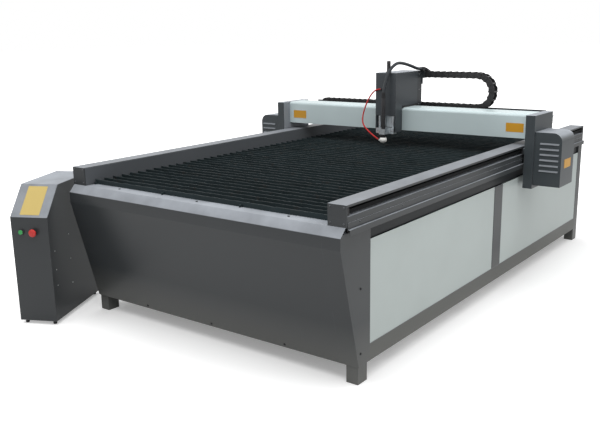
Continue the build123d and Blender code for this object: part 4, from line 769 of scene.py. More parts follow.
bed_scale, tree, surface = finish("bed_scale")
marks = shade(tree, "Group", node_tree=heat_marks)
up_dust_and_light = shade(tree, "Group", {"Amount": 0.18, "Patches": 14.0}, node_tree=dust_and_top_light)
tone = mix(tree, remap(tree, marks.outputs["Bloom"], 0.3, 0.7), scale_black, scale_blue)
tone = mix(tree, combine(tree, marks.outputs["Rust"], 0.25, "MULTIPLY"), tone, rust)
tone = mix(tree, combine(tree, marks.outputs["Burn"], 0.25, "MULTIPLY"), tone, slag_grey)
tone = mix(tree, combine(tree, up_dust_and_light.outputs["Mask"], 0.4, "MULTIPLY"), tone, slag_grey)
tree.links.new(tone, surface.inputs["Base Color"])
surface.inputs["Specular IOR Level"].default_value = 0.3
tree.links.new(remap(tree, marks.outputs["Bloom"], 0.3, 0.7, 0.62, 0.8), surface.inputs["Roughness"])
bumped(tree, surface, marks.outputs["Pits"], 0.3, pit_depth)
dress("slat_combs", bed_scale)
dress("slag_trays", bed_scale, tray_edge)
comb_places = sorted(sum(corner.x for corner in comb) / len(comb) for comb in solids("slat_combs"))
comb_gap = comb_places[1] - comb_places[0]
bm = bmesh.new()
for number, slat in enumerate(sorted(solids("bed_slats"), key=lambda slat: slat[0].y)):
    low, high = box_of(slat)
    middle = (low.y + high.y) / 2
    half = (high.y - low.y) / 2
    rings = []
    for x in spaced(low.x, high.x, slat_step):
        held = sin(pi * (x - comb_places[0]) / comb_gap) ** 2
        bow = slat_bow * held * noise.noise((bow_waves * x, bow_shift * number, 0.5))
        bite = nick_depth * max(0.0, noise.noise((nick_waves * x, nick_shift * number, 4.5)))
        front, back = middle + bow - half, middle + bow + half
        levels = (low.z, high.z - 3 * nick_depth, high.z - bite)
        rings.append([(x, front, z) for z in levels] + [(x, back, z) for z in reversed(levels)])
    stacked(bm, rings, Matrix.Identity(4))
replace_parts(piece("warped_bed_slats", bm, bed_scale, "table"), "bed_slats")

# Gantry: two hollow uprights outside the beams and a steel tube between them, under a folded hood of a
# colder and lighter white than the cladding. The tube is only seen from behind, between the rails of the
# head. The uprights' inner faces are made paler with painted light.
hood_white = (0.51, 0.60, 0.612)
hood_rubbed = (0.62, 0.66, 0.66)
gantry_grey = (0.039, 0.047, 0.052)
upright_inner_light = 0.55
dress("gantry_uprights", inner_faces_painted_light("upright_coat", gantry_grey, upright_inner_light), tube_edge)
dress("gantry_beam", grey_coat)
hood_coat = painted("hood_coat", hood_white, hood_rubbed, white_rough, top_dust_and_light=0.0)
dress("beam_hood", hood_coat, sheet_edge)
dress("chain_tray", grey_coat, tray_edge)

# Guide blocks: hardened steel bodies with a black scraper on each end, two on each side beam and four
# behind the gantry beam. They wrap the rail on three sides, with a little room all round.
block_ease = 1.0 * mm
scraper_t = 2.4 * mm
scraper_inset = 0.5 * mm
rail_half = 7.8 * mm
rail_rise = 11.0 * mm


def guide_block(bm, low, high, out, along, inset, share):
    """Adds one C-shaped length of a guide block: share gives its start and end along the rail."""
    up = Vector(out).cross(Vector(along))
    middle = (low + high) / 2
    tall = abs((high - low).dot(Vector(out)))
    wide = abs((high - low).dot(up))
    length = abs((high - low).dot(Vector(along)))
    half = wide / 2 - inset
    shoulder = half - 2 * inset - block_ease
    outline = [(-half, inset), (-rail_half, inset), (-rail_half, rail_rise), (rail_half, rail_rise)]
    outline += [(rail_half, inset), (half, inset), (half, tall - 3 * inset), (shoulder, tall - inset)]
    outline += [(-shoulder, tall - inset), (-half, tall - 3 * inset)]
    seat = middle - Vector(out) * tall / 2
    rings = []
    for station in share:
        origin = seat + Vector(along) * (station - 0.5) * length
        rings.append([origin + up * side + Vector(out) * rise for side, rise in outline])
    stacked(bm, rings, Matrix.Identity(4))


def block_set(name, node, body, out_axis, along):
    """The steel bodies and the end scrapers of every guide block in a node."""
    steel = bmesh.new()
    scrapers = bmesh.new()
    for solid in solids(node):
        low, high = box_of(solid)
        out = out_axis(low)
        length = abs((high - low).dot(Vector(along)))
        end = scraper_t / length
        guide_block(steel, low, high, out, along, 0.0, (end, 1 - end))
        guide_block(scrapers, low, high, out, along, scraper_inset, (0.0, end))
        guide_block(scrapers, low, high, out, along, scraper_inset, (1 - end, 1.0))
    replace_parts(piece(name, steel, guide_steel, body), node)
    piece(name + "_scrapers", scrapers, black_plastic, body)


block_set("side_guide_blocks", "side_blocks", "gantry", lambda low: (side_of(low), 0, 0), (0, 1, 0))
block_set("cross_guide_blocks", "cross_blocks", "carriage", lambda low: (0, 1, 0), (1, 0, 0))
dress("cross_rails", rail_black, rail_edge)
dress("cross_rack", gear_steel)
bm = bmesh.new()
for rail in solids("cross_rails"):
    low, high = box_of(rail)
    for along in spaced(low.x + plug_step / 2, high.x - plug_step / 2, plug_step):
        dished_plug(bm, Vector((along, high.y, (low.z + high.z) / 2)), Vector((0, 1, 0)))
piece("cross_rail_plugs", bm, black_plastic, "gantry")

# Gearmotors under louvred covers: black enamelled bodies, oiled pinions, grey folded covers whose
# louvres are pressed out of the front sheet. A blank amber plate is riveted to each cover and twice
# to the hood.
motor_edge = 1.0 * mm
plate_rim = 2.0 * mm
plate_sunk = 0.3 * mm
plate_corner = 3.0 * mm
amber = (0.56, 0.28, 0.022)
amber_rubbed = (0.62, 0.42, 0.15)
motor_enamel = moulded("motor_enamel", (0.020, 0.020, 0.022), rough=0.36, grain=800.0, depth=0.12)
dress("side_motors", motor_enamel, motor_edge)
dress("motor_covers", painted("motor_cover_coat", gantry_grey, grey_rubbed, coat_rough, lying_dust_and_light))
for name in ("left_pinion", "right_pinion", "cross_pinion"):
    dress(name, gear_steel)


def soft_rectangle(width, height, radius, level, steps=4):
    """Points of a rectangle with round corners, about the middle, at one level."""
    points = []
    for quarter, (x, y) in enumerate(((1, 1), (-1, 1), (-1, -1), (1, -1))):
        centre = (x * (width / 2 - radius), y * (height / 2 - radius))
        for step in range(steps + 1):
            angle = pi / 2 * (quarter + step / steps)
            points.append((centre[0] + radius * cos(angle), centre[1] + radius * sin(angle), level))
    return points


def upright_place(spot, out):
    """Place on a face: local Z leaves the face, local Y climbs it."""
    out = Vector(out).normalized()
    climb = (Vector((0, 0, 1)) - out * out.z).normalized()
    turn = Matrix((climb.cross(out), climb, out)).transposed().to_4x4()
    return Matrix.Translation(spot) @ turn


def framed_plate(bm, place, width, height, thick):
    """Adds a blank plate with a raised rim and a rivet in each corner."""
    inner = (width - 2 * plate_rim, height - 2 * plate_rim, plate_corner - plate_rim / 2)
    rings = [soft_rectangle(width, height, plate_corner, level) for level in (0, thick)]
    rings += [soft_rectangle(*inner, level) for level in (thick, thick - plate_sunk)]
    stacked(bm, rings, place)
    inset = 2.6 * plate_rim
    dome = [(1.6 * mm, thick - plate_sunk), (1.4 * mm, thick - 0.1 * mm), (0.8 * mm, thick), (0, thick)]
    for x in (-1, 1):
        for y in (-1, 1):
            corner = Vector((x * (width / 2 - inset), y * (height / 2 - inset), 0))
            turned(bm, dome, place @ Matrix.Translation(corner), rivet_sides)


amber_plate = painted("amber_plate", amber, amber_rubbed, rough=0.38, top_dust_and_light=0.0)
bm = bmesh.new()
for plate in solids("blank_plates"):
    low, high = box_of(plate)
    middle = (low + high) / 2
    if high.y - low.y < high.x - low.x:
        out, width, thick = Vector((0, -1, 0)), high.x - low.x, high.y - low.y
    else:
        out, width, thick = Vector((side_of(middle), 0, 0)), high.y - low.y, high.x - low.x
    framed_plate(bm, upright_place(middle - out * thick / 2, out), width, high.z - low.z, thick)
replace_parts(piece("blank_amber_plates", bm, amber_plate, "gantry"), "blank_plates")

# Drag chain: moulded nylon links that hook into each other, each with two side cheeks, pin bosses and two
# snap-in crossbars. The lower run lies in the tray, the bend rolls and the upper run ends on the head.
link_pitch = 44.0 * mm
cheek_t = 3.0 * mm
cheek_r = 19.2 * mm
cheek_start = 20.2 * mm
tongue_r = 17.4 * mm
tongue_start = 24.6 * mm
tongue_t = 2.6 * mm
boss_r = 5.5 * mm
boss_h = 0.8 * mm
boss_sides = 14
bar_half = 5.0 * mm
bar_t = 4.2 * mm
bar_corner = 1.6 * mm
bar_inset = 0.5 * mm
bar_share = 0.58
cheek_steps = 10
roll_share = 0.5
last_share = 0.98
chain_nylon = moulded("chain_nylon", (0.020, 0.020, 0.021), rough=0.33, grain=1100.0, depth=0.15)
run_low, run_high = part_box("chain_lower_run")
end_low, end_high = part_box("chain_upper_run")
chain_mid_y = (run_low.y + run_high.y) / 2
chain_half_w = (run_high.y - run_low.y) / 2
chain_half_h = (run_high.z - run_low.z) / 2
lower_z = (run_low.z + run_high.z) / 2
upper_z = (end_low.z + end_high.z) / 2
bend_r = (upper_z - lower_z) / 2
bend_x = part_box("chain_bend")[0].x


def half_round(start, end, radius):
    """A cheek's outline: straight at its start, round about its end."""
    turn = 1 if end > start else -1
    arc = [pi * step / cheek_steps - pi / 2 for step in range(cheek_steps + 1)]
    nose = [(end + turn * radius * cos(angle), radius * sin(angle)) for angle in arc]
    return [(start, -radius)] + nose + [(start, radius)]


def slab(bm, outline, low, high, place):
    """Adds a flat form: an outline of (x, z) between two places along local Y."""
    stacked(bm, [[(x, y, z) for x, z in outline] for y in (low, high)], place)


def chain_link(bm, start, end, tail):
    """Adds one link from one pin to the next; tail says whether it hooks into a link before it."""
    run = Vector(end) - Vector(start)
    lean = Matrix.Rotation(-atan2(run.y, run.x), 4, "Y")
    place = Matrix.Translation((start[0], chain_mid_y, start[1])) @ lean
    outer = chain_half_w - boss_h
    inner = outer - cheek_t
    cheek = half_round(cheek_start, link_pitch, cheek_r)
    tongue = half_round(tongue_start, 0.0 if tail else tongue_r, tongue_r)
    boss = sized([(1, 0), (1, 0.5), (0.8, 1), (0, 1)], boss_r, boss_h)
    crossbar = soft_rectangle(2 * bar_half, bar_t, bar_corner, 0.0)
    for side in (-1, 1):
        slab(bm, cheek, side * outer, side * inner, place)
        slab(bm, tongue, side * inner, side * (inner - tongue_t), place)
        outward = Matrix.Rotation(-side * pi / 2, 4, "X")
        turned(bm, boss, place @ Matrix.Translation((link_pitch, side * outer, 0)) @ outward, boss_sides)
        height = side * (chain_half_h - bar_t / 2)
        bar = [(bar_share * link_pitch + x, height + y) for x, y, _ in crossbar]
        slab(bm, bar, bar_inset - outer, outer - bar_inset, place)


lower_count = round((bend_x - run_low.x) / link_pitch)
upper_count = round((bend_x - end_low.x) / link_pitch)
bend_count = round(pi * bend_r / link_pitch)
lower_pins = [(run_low.x + index * link_pitch, lower_z) for index in range(lower_count + 1)]
bend_angles = [pi * index / bend_count for index in range(bend_count + 1)]
bend_pins = [(bend_x + bend_r * sin(turn), lower_z + bend_r * (1 - cos(turn))) for turn in bend_angles]
upper_pins = [(bend_x - index * link_pitch, upper_z) for index in range(upper_count + 1)]
bm = bmesh.new()
for start, end in zip(lower_pins, lower_pins[1:]):
    chain_link(bm, start, end, start != lower_pins[0])
lower_run = piece("drag_chain_lower", bm, chain_nylon, None)
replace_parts(lower_run, "chain_lower_run")
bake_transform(lower_run)
bm = bmesh.new()
for start, end in zip(bend_pins, bend_pins[1:]):
    chain_link(bm, start, end, True)
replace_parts(piece("drag_chain_bend", bm, chain_nylon, "chain_bend"), "chain_bend")


def blend_place(share):
    """Place along a blend, from 0 to 1, where a point takes this share of the second body's motion."""
    return 0.5 - sin(asin(1 - 2 * share) / 3)


# The bend rolls by half the head's travel. Each upper-run link's share of the head's motion, from that half
# up to the whole, is worked out here, but no link is made to follow it.
share_step = (last_share - roll_share) / (upper_count - 1)
pin_shares = [roll_share + share_step * index for index in range(upper_count)] + [1.0]
for index in range(upper_count):
    start, end = upper_pins[index:index + 2]
    bm = bmesh.new()
    chain_link(bm, start, end, True)
    upper_link = piece("drag_chain_upper_" + str(index + 1), bm, chain_nylon, None)
    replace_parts(upper_link, "chain_upper_run")
    first, last = (blend_place(share) for share in pin_shares[index:index + 2])
    span = (end[0] - start[0]) / (last - first)
    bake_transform(upper_link)

# Cutting head: a welded saddle on the beam's rails, under a folded grey housing with a separate back
# cover held by small screws. Black brushes under the housing's sides sweep the hood, and their black also
# stands in for painted shade in the gap there. On the housing are a turned black post, the two-part strain
# relief of the torch lead and the elbow of the air hose.
head_edge = 0.8 * mm
cover_screw_r = 3.5 * mm
cover_screw_drops = (0.020, 0.120, 0.215)
cover_screw_inset = 0.035
cover_tone = 0.62
housing_grey = (0.054, 0.062, 0.069)
relief_screw_r = 2.4 * mm
relief_screw_side = 8.5 * mm
relief_screw_sunk = 1.6 * mm
relief_halves = ((0.0, 0.48), (0.52, 0.93))
relief_ease_share = 0.04
relief_ease = 1.0 * mm
relief_corner = 2.5 * mm
brush_gap = 0.4 * mm
brush_rise = 12.0 * mm
brush_t = 3.0 * mm
strip_share = 0.5
tuft_step = 3.0 * mm
tuft_share = 0.85
tuft_rise_share = 0.55
tuft_margin = 0.2
ball_share = 0.82
ball_steps = 12
dress("head_saddle", grey_coat, head_edge)
dress("cross_motor", motor_enamel, head_edge)
dress("lift_motor", motor_enamel, head_edge)


def front_to_back(name):
    """Boxes of the solids in a node, the one nearest the front first."""
    return sorted((box_of(solid) for solid in solids(name)), key=lambda box: box[0].y)


shell_low, shell_high = front_to_back("head_housing")[0]
elbow, post, relief = front_to_back("head_connectors")
head_top = post[0].z

# The back cover, behind the shell, is drawn darker than the rest of the housing.
housing_coat = painted("housing_coat", housing_grey, grey_rubbed, coat_rough, lying_dust_and_light)
tree = housing_coat.node_tree
behind = combine(tree, place_on(tree, "Y"), shell_high.y, "GREATER_THAN")
on_cover = combine(tree, behind, 1 - cover_tone, "MULTIPLY")
overlaid(housing_coat, on_cover, (0, 0, 0))
dress("head_housing", housing_coat, sheet_edge)

relief_size = relief[1] - relief[0]
relief_middle = (relief[0] + relief[1]) / 2
bm = bmesh.new()
for side in (-1, 1):
    for drop in cover_screw_drops:
        side_x = shell_high.x if side > 0 else shell_low.x
        spot = Vector((side_x, relief[1].y - cover_screw_inset, head_top - drop))
        button_head(bm, facing_place(spot, (side, 0, 0)), cover_screw_r, small_head_sides)
    relief_level = relief_size.z / 2 - relief_screw_sunk
    spot = relief_middle + Vector((side * relief_screw_side, 0, relief_level))
    button_head(bm, facing_place(spot, (0, 0, 1)), relief_screw_r, small_head_sides)
piece("head_screws", bm, zinc_plate, "carriage")

hood_low, hood_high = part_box("beam_hood")
# Black brushes along the housing's sides; their black stands in for painted shade in the gap over the hood.
bm = bmesh.new()
for inner, outer in ((shell_low.x, shell_low.x - brush_t), (shell_high.x, shell_high.x + brush_t)):
    foot = hood_high.z + brush_gap
    strip_foot = foot + strip_share * brush_rise
    strip = [(hood_low.y, strip_foot), (shell_high.y, strip_foot)]
    strip += [(y, foot + brush_rise) for y, _ in reversed(strip)]
    stacked(bm, [[(x, y, z) for y, z in strip] for x in (inner, outer)], Matrix.Identity(4))
    for start in spaced(hood_low.y, shell_high.y - tuft_step, tuft_step):
        tuft = [(start, foot), (start + tuft_share * tuft_step, foot)]
        tuft += [(y, foot + tuft_rise_share * brush_rise) for y, _ in reversed(tuft)]
        margin = tuft_margin * (outer - inner)
        narrow = (inner + margin, outer - margin)
        stacked(bm, [[(x, y, z) for y, z in tuft] for x in narrow], Matrix.Identity(4))
piece("hood_brushes", bm, soft_rubber, "carriage")

bm = bmesh.new()
post_h = post[1].z - post[0].z
post_line = [(0, 0), (17.0, 0), (17.0, 5.5), (16.0, 8.0), (12.8, 8.0), (12.0, 9.5), (12.0, 50.0)]
post_line += [(11.0, 50.6), (11.0, 52.0), (12.0, 52.6), (12.0, 69.5), (10.6, 72.0), (9.0, 73.0), (0, 73.0)]
post_middle = ((post[0].x + post[1].x) / 2, (post[0].y + post[1].y) / 2, post[0].z)
turned(bm, sized(post_line, mm, post_h / post_line[-1][1]), Matrix.Translation(post_middle), steps=40)
for low, high in relief_halves:
    stations = [(low, relief_ease), (low + relief_ease_share, 0.0)]
    stations += [(high - relief_ease_share, 0.0), (high, relief_ease)]
    rings = []
    for share, inset in stations:
        size = (relief_size.x - 2 * inset, relief_size.y - 2 * inset)
        rings.append(soft_rectangle(*size, relief_corner, share * relief_size.z))
    stacked(bm, rings, Matrix.Translation((relief_middle.x, relief_middle.y, relief[0].z)))
elbow_middle = (elbow[0] + elbow[1]) / 2
elbow_half = (elbow[1].x - elbow[0].x) / 2
nut = [(0, 0), (1.0, 0), (1.0, 0.4), (0.8, 0.6), (0, 0.6)]
nut_place = facing_place((elbow_middle.x, elbow[1].y, elbow_middle.z), (0, -1, 0))
turned(bm, sized(nut, elbow_half, elbow_half), nut_place, steps=6)
ball_r = elbow_half * ball_share
ball_turns = [pi * step / ball_steps for step in range(ball_steps + 1)]
ball = [(ball_r * sin(turn), ball_r * cos(turn)) for turn in ball_turns]
turned(bm, ball, Matrix.Translation(elbow_middle), steps=24)
branch = [(0, 0), (0.7, 0), (0.7, 0.5), (0.9, 0.55), (0.9, 0.95), (0.7, 1.0), (0, 1.0)]
turned(bm, sized(branch, elbow_half, elbow_half), facing_place(elbow_middle, (-1, 0, 0)), steps=24)
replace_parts(piece("head_fittings", bm, black_plastic, "carriage"), "head_connectors")

# Torch lift: ground rods, a rolled two-start screw, an aluminium crosshead and the clamp, a bar across the
# rods with a grip that is split at the torch's axis. Screws pinch the grip and hold the rods. A ribbed
# aluminium plate on the saddle stands behind the rods.
screw_lead = 10.0 * mm
screw_starts = 2
thread_depth = 0.9 * mm
thread_rows = 10
thread_sides = 36
flank_slope = 2.5
crest_share = 0.75
saddle_front = 0.316
rib_inset = 0.012
rib_count = 9
rib_floor = 4.0 * mm
rib_rise = 8.0 * mm
rib_levels = (0.862, 0.9395)
split_gap = 0.8 * mm
bore_room = 0.05 * mm
bore_steps = 24
clamp_corner = 4.0 * mm
grip_half = 22.0 * mm
grip_screw_side = 17.0 * mm
bar_lead = 26.0 * mm
cap_screw_r = 4.6 * mm
chrome_tone = (0.76, 0.81, 0.84)
rod_stroke = (500.0, 500.0, 20.0)
aluminium_tone = (0.69, 0.74, 0.77)
clamp_stroke = (60.0, 900.0, 60.0)
satin_chrome = metal("satin_chrome", chrome_tone, rough=0.46, stroke=rod_stroke, depth=0.10)
milled_aluminium = metal("milled_aluminium", aluminium_tone, rough=0.36, stroke=clamp_stroke, depth=0.10)
dress("lift_rods", satin_chrome, head_edge)
dress("lift_crosshead", milled_aluminium, head_edge)
rib_left, rib_right = shell_low.x + rib_inset, shell_high.x - rib_inset
rib_pitch = (rib_right - rib_left) / (rib_count - 0.5)
ribbed = [(rib_left, saddle_front), (rib_right, saddle_front)]
for rib in reversed(range(rib_count)):
    x = rib_left + rib * rib_pitch
    ribbed += [(x + 0.5 * rib_pitch, saddle_front - rib_rise), (x, saddle_front - rib_rise)]
    if rib:
        ribbed += [(x, saddle_front - rib_floor), (x - 0.5 * rib_pitch, saddle_front - rib_floor)]
bm = bmesh.new()
stacked(bm, [[(x, y, z) for x, y in ribbed] for z in rib_levels], Matrix.Identity(4))
piece("ribbed_lift_plate", bm, milled_aluminium, "carriage")
screw_low, screw_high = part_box("lift_screw")
screw_middle = (screw_low + screw_high) / 2
screw_r = (screw_high.x - screw_low.x) / 2
rows = ceil((screw_high.z - screw_low.z) / screw_lead * thread_rows)
rings = []
for row in range(rows + 1):
    level = (screw_high.z - screw_low.z) * row / rows
    ring = []
    for step in range(thread_sides):
        angle = 2 * pi * step / thread_sides
        phase = (level / screw_lead - step / thread_sides) * screw_starts % 1
        depth = thread_depth * min(1, max(0, flank_slope * abs(2 * phase - 1) - crest_share))
        ring.append(((screw_r - depth) * cos(angle), (screw_r - depth) * sin(angle), level))
    rings.append(ring)
bm = bmesh.new()
stacked(bm, rings, Matrix.Translation((screw_middle.x, screw_middle.y, screw_low.z)))
threaded_screw = piece("threaded_lift_screw", bm, guide_steel, "lift_screw", sharp=60)
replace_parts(threaded_screw, "lift_screw")

torch_low, torch_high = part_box("torch_barrel")
torch_axis = (torch_low + torch_high) / 2
barrel_r = (torch_high.x - torch_low.x) / 2
clamp_low, clamp_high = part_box("torch_clamp")
rods_low, rods_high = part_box("lift_rods")
rod_y = (rods_low.y + rods_high.y) / 2
rod_r = (rods_high.y - rods_low.y) / 2
bar_front = rod_y - bar_lead
grip_low, grip_high = torch_axis.x - grip_half, torch_axis.x + grip_half
bore_r = barrel_r + bore_room
tilt = asin(split_gap / 2 / bore_r)
front_y, rear_y = torch_axis.y - split_gap / 2, torch_axis.y + split_gap / 2
front_half = [(grip_high, front_y), (grip_high, clamp_low.y), (grip_low, clamp_low.y), (grip_low, front_y)]
rear_half = [(grip_low, rear_y), (grip_low, bar_front), (clamp_low.x, bar_front)]
rear_half += [(clamp_low.x, clamp_high.y), (clamp_high.x, clamp_high.y)]
rear_half += [(clamp_high.x, bar_front), (grip_high, bar_front), (grip_high, rear_y)]
clamp_levels = (clamp_low.z, clamp_high.z)
bm = bmesh.new()
for half, start in ((front_half, tilt - pi), (rear_half, tilt)):
    outline = rounded_line([Vector(point) for point in half], clamp_corner)
    for step in range(bore_steps + 1):
        angle = start + (pi - 2 * tilt) * step / bore_steps
        outline.append(Vector((torch_axis.x + bore_r * cos(angle), torch_axis.y + bore_r * sin(angle))))
    stacked(bm, [[(*point, z) for point in outline] for z in clamp_levels], Matrix.Identity(4))
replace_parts(piece("split_torch_clamp", bm, milled_aluminium, "lift"), "torch_clamp")
bm = bmesh.new()
clamp_z = (clamp_low.z + clamp_high.z) / 2
grip_spots = [(torch_axis.x + side * grip_screw_side, clamp_low.y) for side in (-1, 1)]
rod_spots = [(x, bar_front) for x in (rods_low.x + rod_r, rods_high.x - rod_r)]
for x, y in grip_spots + rod_spots:
    button_head(bm, facing_place(Vector((x, y, clamp_z)), (0, -1, 0)), cap_screw_r)
piece("clamp_screws", bm, zinc_plate, "lift")

# Torch: a turned black barrel with grip rings, and a pale heat-proof cap, round below and scorched about
# its nozzle. A ribbed nipple on the cap's side takes the air hose, and a blackened ring holds the cap.
cap_pale = (0.80, 0.80, 0.77)
scorch = (0.10, 0.075, 0.055)
scorch_rise = 0.009
scorch_share = 0.8
cap_r = 23.0 * mm
cap_round = 22.5 * mm
cap_pore_depth = 0.1 * mm
nipple_rise = 16.0 * mm
nipple_length = 9.0 * mm
nipple_tilt = radians(28.0)
nipple_dir = Vector((-cos(nipple_tilt), 0, sin(nipple_tilt)))
groove_count = 6
groove_pitch = 8.0
grip_start = 150.0
cap_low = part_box("torch_cap")[0]
bm = bmesh.new()
barrel_line = [(0, 0), (12.0, 0), (12.0, 84.0), (11.3, 84.8), (11.3, 87.2), (12.0, 88.0)]
barrel_line += [(12.0, grip_start)]
for groove in range(groove_count):
    base = grip_start + groove_pitch * groove
    barrel_line += [(12.0, base + 4.0), (11.2, base + 5.0), (11.2, base + 7.0), (12.0, base + groove_pitch)]
barrel_line += [(12.0, 228.0), (11.0, 232.0), (11.0, 244.0), (10.2, 255.0), (0, 255.0)]
barrel_foot = Matrix.Translation((torch_axis.x, torch_axis.y, torch_low.z))
turned(bm, sized(barrel_line, mm, mm), barrel_foot, steps=48)
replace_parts(piece("turned_torch_barrel", bm, black_plastic, "lift"), "torch_barrel")

cap_ceramic, tree, surface = finish("cap_ceramic")
skin = shade(tree, "Group", {"Grain": 900.0, "Drift": 60.0}, node_tree=mould_grain)
level = place_on(tree, "Z")
near_tip = remap(tree, level, cap_low.z, cap_low.z + scorch_rise, scorch_share, 0.0)
burnt = combine(tree, near_tip, remap(tree, skin.outputs["Tone"], 0.3, 0.7, 0.5, 1.0), "MULTIPLY")
tree.links.new(mix(tree, burnt, cap_pale, scorch), surface.inputs["Base Color"])
surface.inputs["Roughness"].default_value = 0.45
bumped(tree, surface, skin.outputs["Height"], 0.15, cap_pore_depth)
bm = bmesh.new()
cap_turns = [radians(turn) for turn in range(20, 131, 10)]
cap_line = sized([(0, 2.0), (1.6, 2.0), (2.0, 0.6), (7.0, 0.6)], mm, mm)
cap_line += [(cap_r * sin(turn), cap_round * (1 - cos(turn))) for turn in cap_turns]
cap_line += sized([(12.05, 37.0), (12.05, 32.0), (0, 32.0)], mm, mm)
cap_foot = Matrix.Translation((torch_axis.x, torch_axis.y, cap_low.z))
turned(bm, cap_line, cap_foot, steps=56)
nipple_root = Vector((torch_axis.x - cap_r, torch_axis.y, cap_low.z + nipple_rise))
nipple_tip = nipple_root + nipple_dir * nipple_length
nipple_line = [(0, 0), (4.4, 0), (5.0, 0.6), (5.0, 3.2), (4.3, 3.6), (4.3, 5.4)]
nipple_line += [(5.0, 5.8), (5.0, 15.0), (0, 15.0)]
turned(bm, sized(nipple_line, mm, mm), facing_place(nipple_tip, -nipple_dir), steps=24)
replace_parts(piece("ceramic_torch_cap", bm, cap_ceramic, "lift"), "torch_cap")
bm = bmesh.new()
ring_line = [(12.05, 36.5), (17.0, 36.5), (17.6, 37.4), (17.6, 40.0), (16.8, 40.6), (16.8, 42.0)]
ring_line += [(17.6, 42.6), (17.6, 47.8), (16.6, 49.0), (12.05, 49.0), (12.05, 36.5)]
turned(bm, sized(ring_line, mm, mm), cap_foot, steps=48)
piece("cap_retaining_ring", bm, blackened, "lift")

# Cords: the torch lead, a thick rubber-jacketed cable from the torch over the housing to its strain
# relief, and a thin red air hose from the housing's elbow to the cap. A ribbed boot holds the lead at the
# torch, small black collets hold the hose, and behind the relief a moulded guide leads into the drag chain.
lead_d = 20.0 * mm
hose_d = 9.0 * mm
cord_sides = 20

# The two routes, in millimetres from the middle of the floor under the table.
lead_points = [(-25, 200, 1060), (-25, 200, 1090), (-21, 206, 1130), (-16, 214.5, 1166)]
lead_points += [(-10, 223.5, 1201.5), (-2, 245.5, 1234), (6, 277.5, 1257), (12, 315.5, 1267.5)]
lead_points += [(18.5, 362, 1263), (25, 410, 1253), (31, 455, 1241), (37, 497, 1228)]
lead_points += [(43, 528, 1221), (43, 561, 1221)]
hose_points = [(-66, 240, 1106), (-91, 240, 1106), (-115.5, 238, 1094.5), (-137.5, 235, 1071)]
hose_points += [(-159.5, 230, 1031.5), (-175.5, 225, 990), (-187.5, 220, 946), (-189.5, 215.5, 906)]
hose_points += [(-177, 211, 875), (-150, 207, 852), (-123, 203, 833)]
hose_points += [(-80.67, 200, 806.37), (-55.95, 200, 793.23)]

boot_ribs = 5
boot_pitch = 5.0
guide_steps = 16
guide_r = 11.8 * mm
guide_taper = 1.5 * mm
guide_groove = 0.5 * mm
guide_shift = 4.0 * mm
guide_drop = 5.0 * mm
guide_sunk = 6.0 * mm
guide_links = 1.2


def smooth_path(name, controls):
    """Points along the smooth curve that follows a route's control points."""
    curve = bpy.data.curves.new(name, "CURVE")
    curve.dimensions = "3D"
    spline = curve.splines.new("NURBS")
    spline.points.add(len(controls) - 1)
    for point, control in zip(spline.points, controls):
        point.co = (*(value * mm for value in control), 1)
    spline.order_u = 3
    spline.use_endpoint_u = True
    spline.resolution_u = 12
    line = bpy.data.objects.new(name, curve)
    traced = bpy.data.meshes.new_from_object(line)
    path = [vert.co.copy() for vert in traced.vertices]
    bpy.data.objects.remove(line)
    bpy.data.curves.remove(curve)
    bpy.data.meshes.remove(traced)
    return path


def tube(name, path, radii, material):
    """A round form along a path, without twist, closed at both ends."""
    neighbours = zip([path[0]] + path, path[1:] + [path[-1]])
    runs = [(after - before).normalized() for before, after in neighbours]
    side = runs[0].orthogonal().normalized()
    rings = []
    for point, run, radius in zip(path, runs, radii):
        side = (side - run * side.dot(run)).normalized()
        over = run.cross(side)
        angles = [2 * pi * step / cord_sides for step in range(cord_sides)]
        rings.append([point + (side * cos(angle) + over * sin(angle)) * radius for angle in angles])
    bm = bmesh.new()
    stacked(bm, rings, Matrix.Identity(4))
    return piece(name, bm, material, None)


lead_jacket = moulded("lead_jacket", (0.020, 0.025, 0.030), rough=0.36, grain=700.0, depth=0.2)
hose_red = moulded("hose_red", (0.52, 0.016, 0.014), rough=0.34, grain=700.0, depth=0.12)
lead_path = smooth_path("lead_path", lead_points)
lead = tube("torch_lead_cable", lead_path, [lead_d / 2] * len(lead_path), lead_jacket)
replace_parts(lead, "torch_lead")
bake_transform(lead)
hose_path = smooth_path("hose_path", hose_points)
hose = tube("red_air_hose", hose_path, [hose_d / 2] * len(hose_path), hose_red)
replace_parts(hose, "red_hose")
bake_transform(hose)
bm = bmesh.new()
boot_line = [(10.1, -4.0), (12.0, -4.0), (12.0, 2.0)]
for rib in range(boot_ribs):
    base = 2.0 + boot_pitch * rib
    crest = 11.9 - 0.2 * rib
    root = 11.0 - 0.12 * rib
    boot_line += [(crest, base + 3.0), (root, base + 3.6)]
    boot_line += [(root, base + boot_pitch), (crest - 0.2, base + boot_pitch)]
boot_line += [(10.6, 30.0), (10.1, 31.0)]
turned(bm, sized(boot_line, mm, mm), Matrix.Translation(lead_path[0]), steps=32)
piece("lead_boot", bm, soft_rubber, "lift")
collet_line = [(4.52, 0), (5.6, 0), (5.6, 2.0), (5.1, 2.6), (5.1, 3.4), (4.52, 4.0)]
collet_seats = [("upper", hose_path[0], hose_path[1] - hose_path[0], "carriage")]
collet_seats += [("lower", nipple_tip, nipple_dir, "lift")]
for name, spot, run, body in collet_seats:
    bm = bmesh.new()
    turned(bm, sized(collet_line, mm, mm), facing_place(spot, run), steps=24)
    piece("hose_collet_" + name, bm, black_plastic, body)
guide_from = relief_middle + Vector((0, relief_size.y / 2, 0))
guide_knee = Vector((guide_from.x + guide_shift, chain_mid_y, guide_from.z - guide_drop))
guide_to = Vector((end_low.x + guide_links * link_pitch, chain_mid_y, end_high.z - guide_sunk))
guide_path = []
guide_radii = []
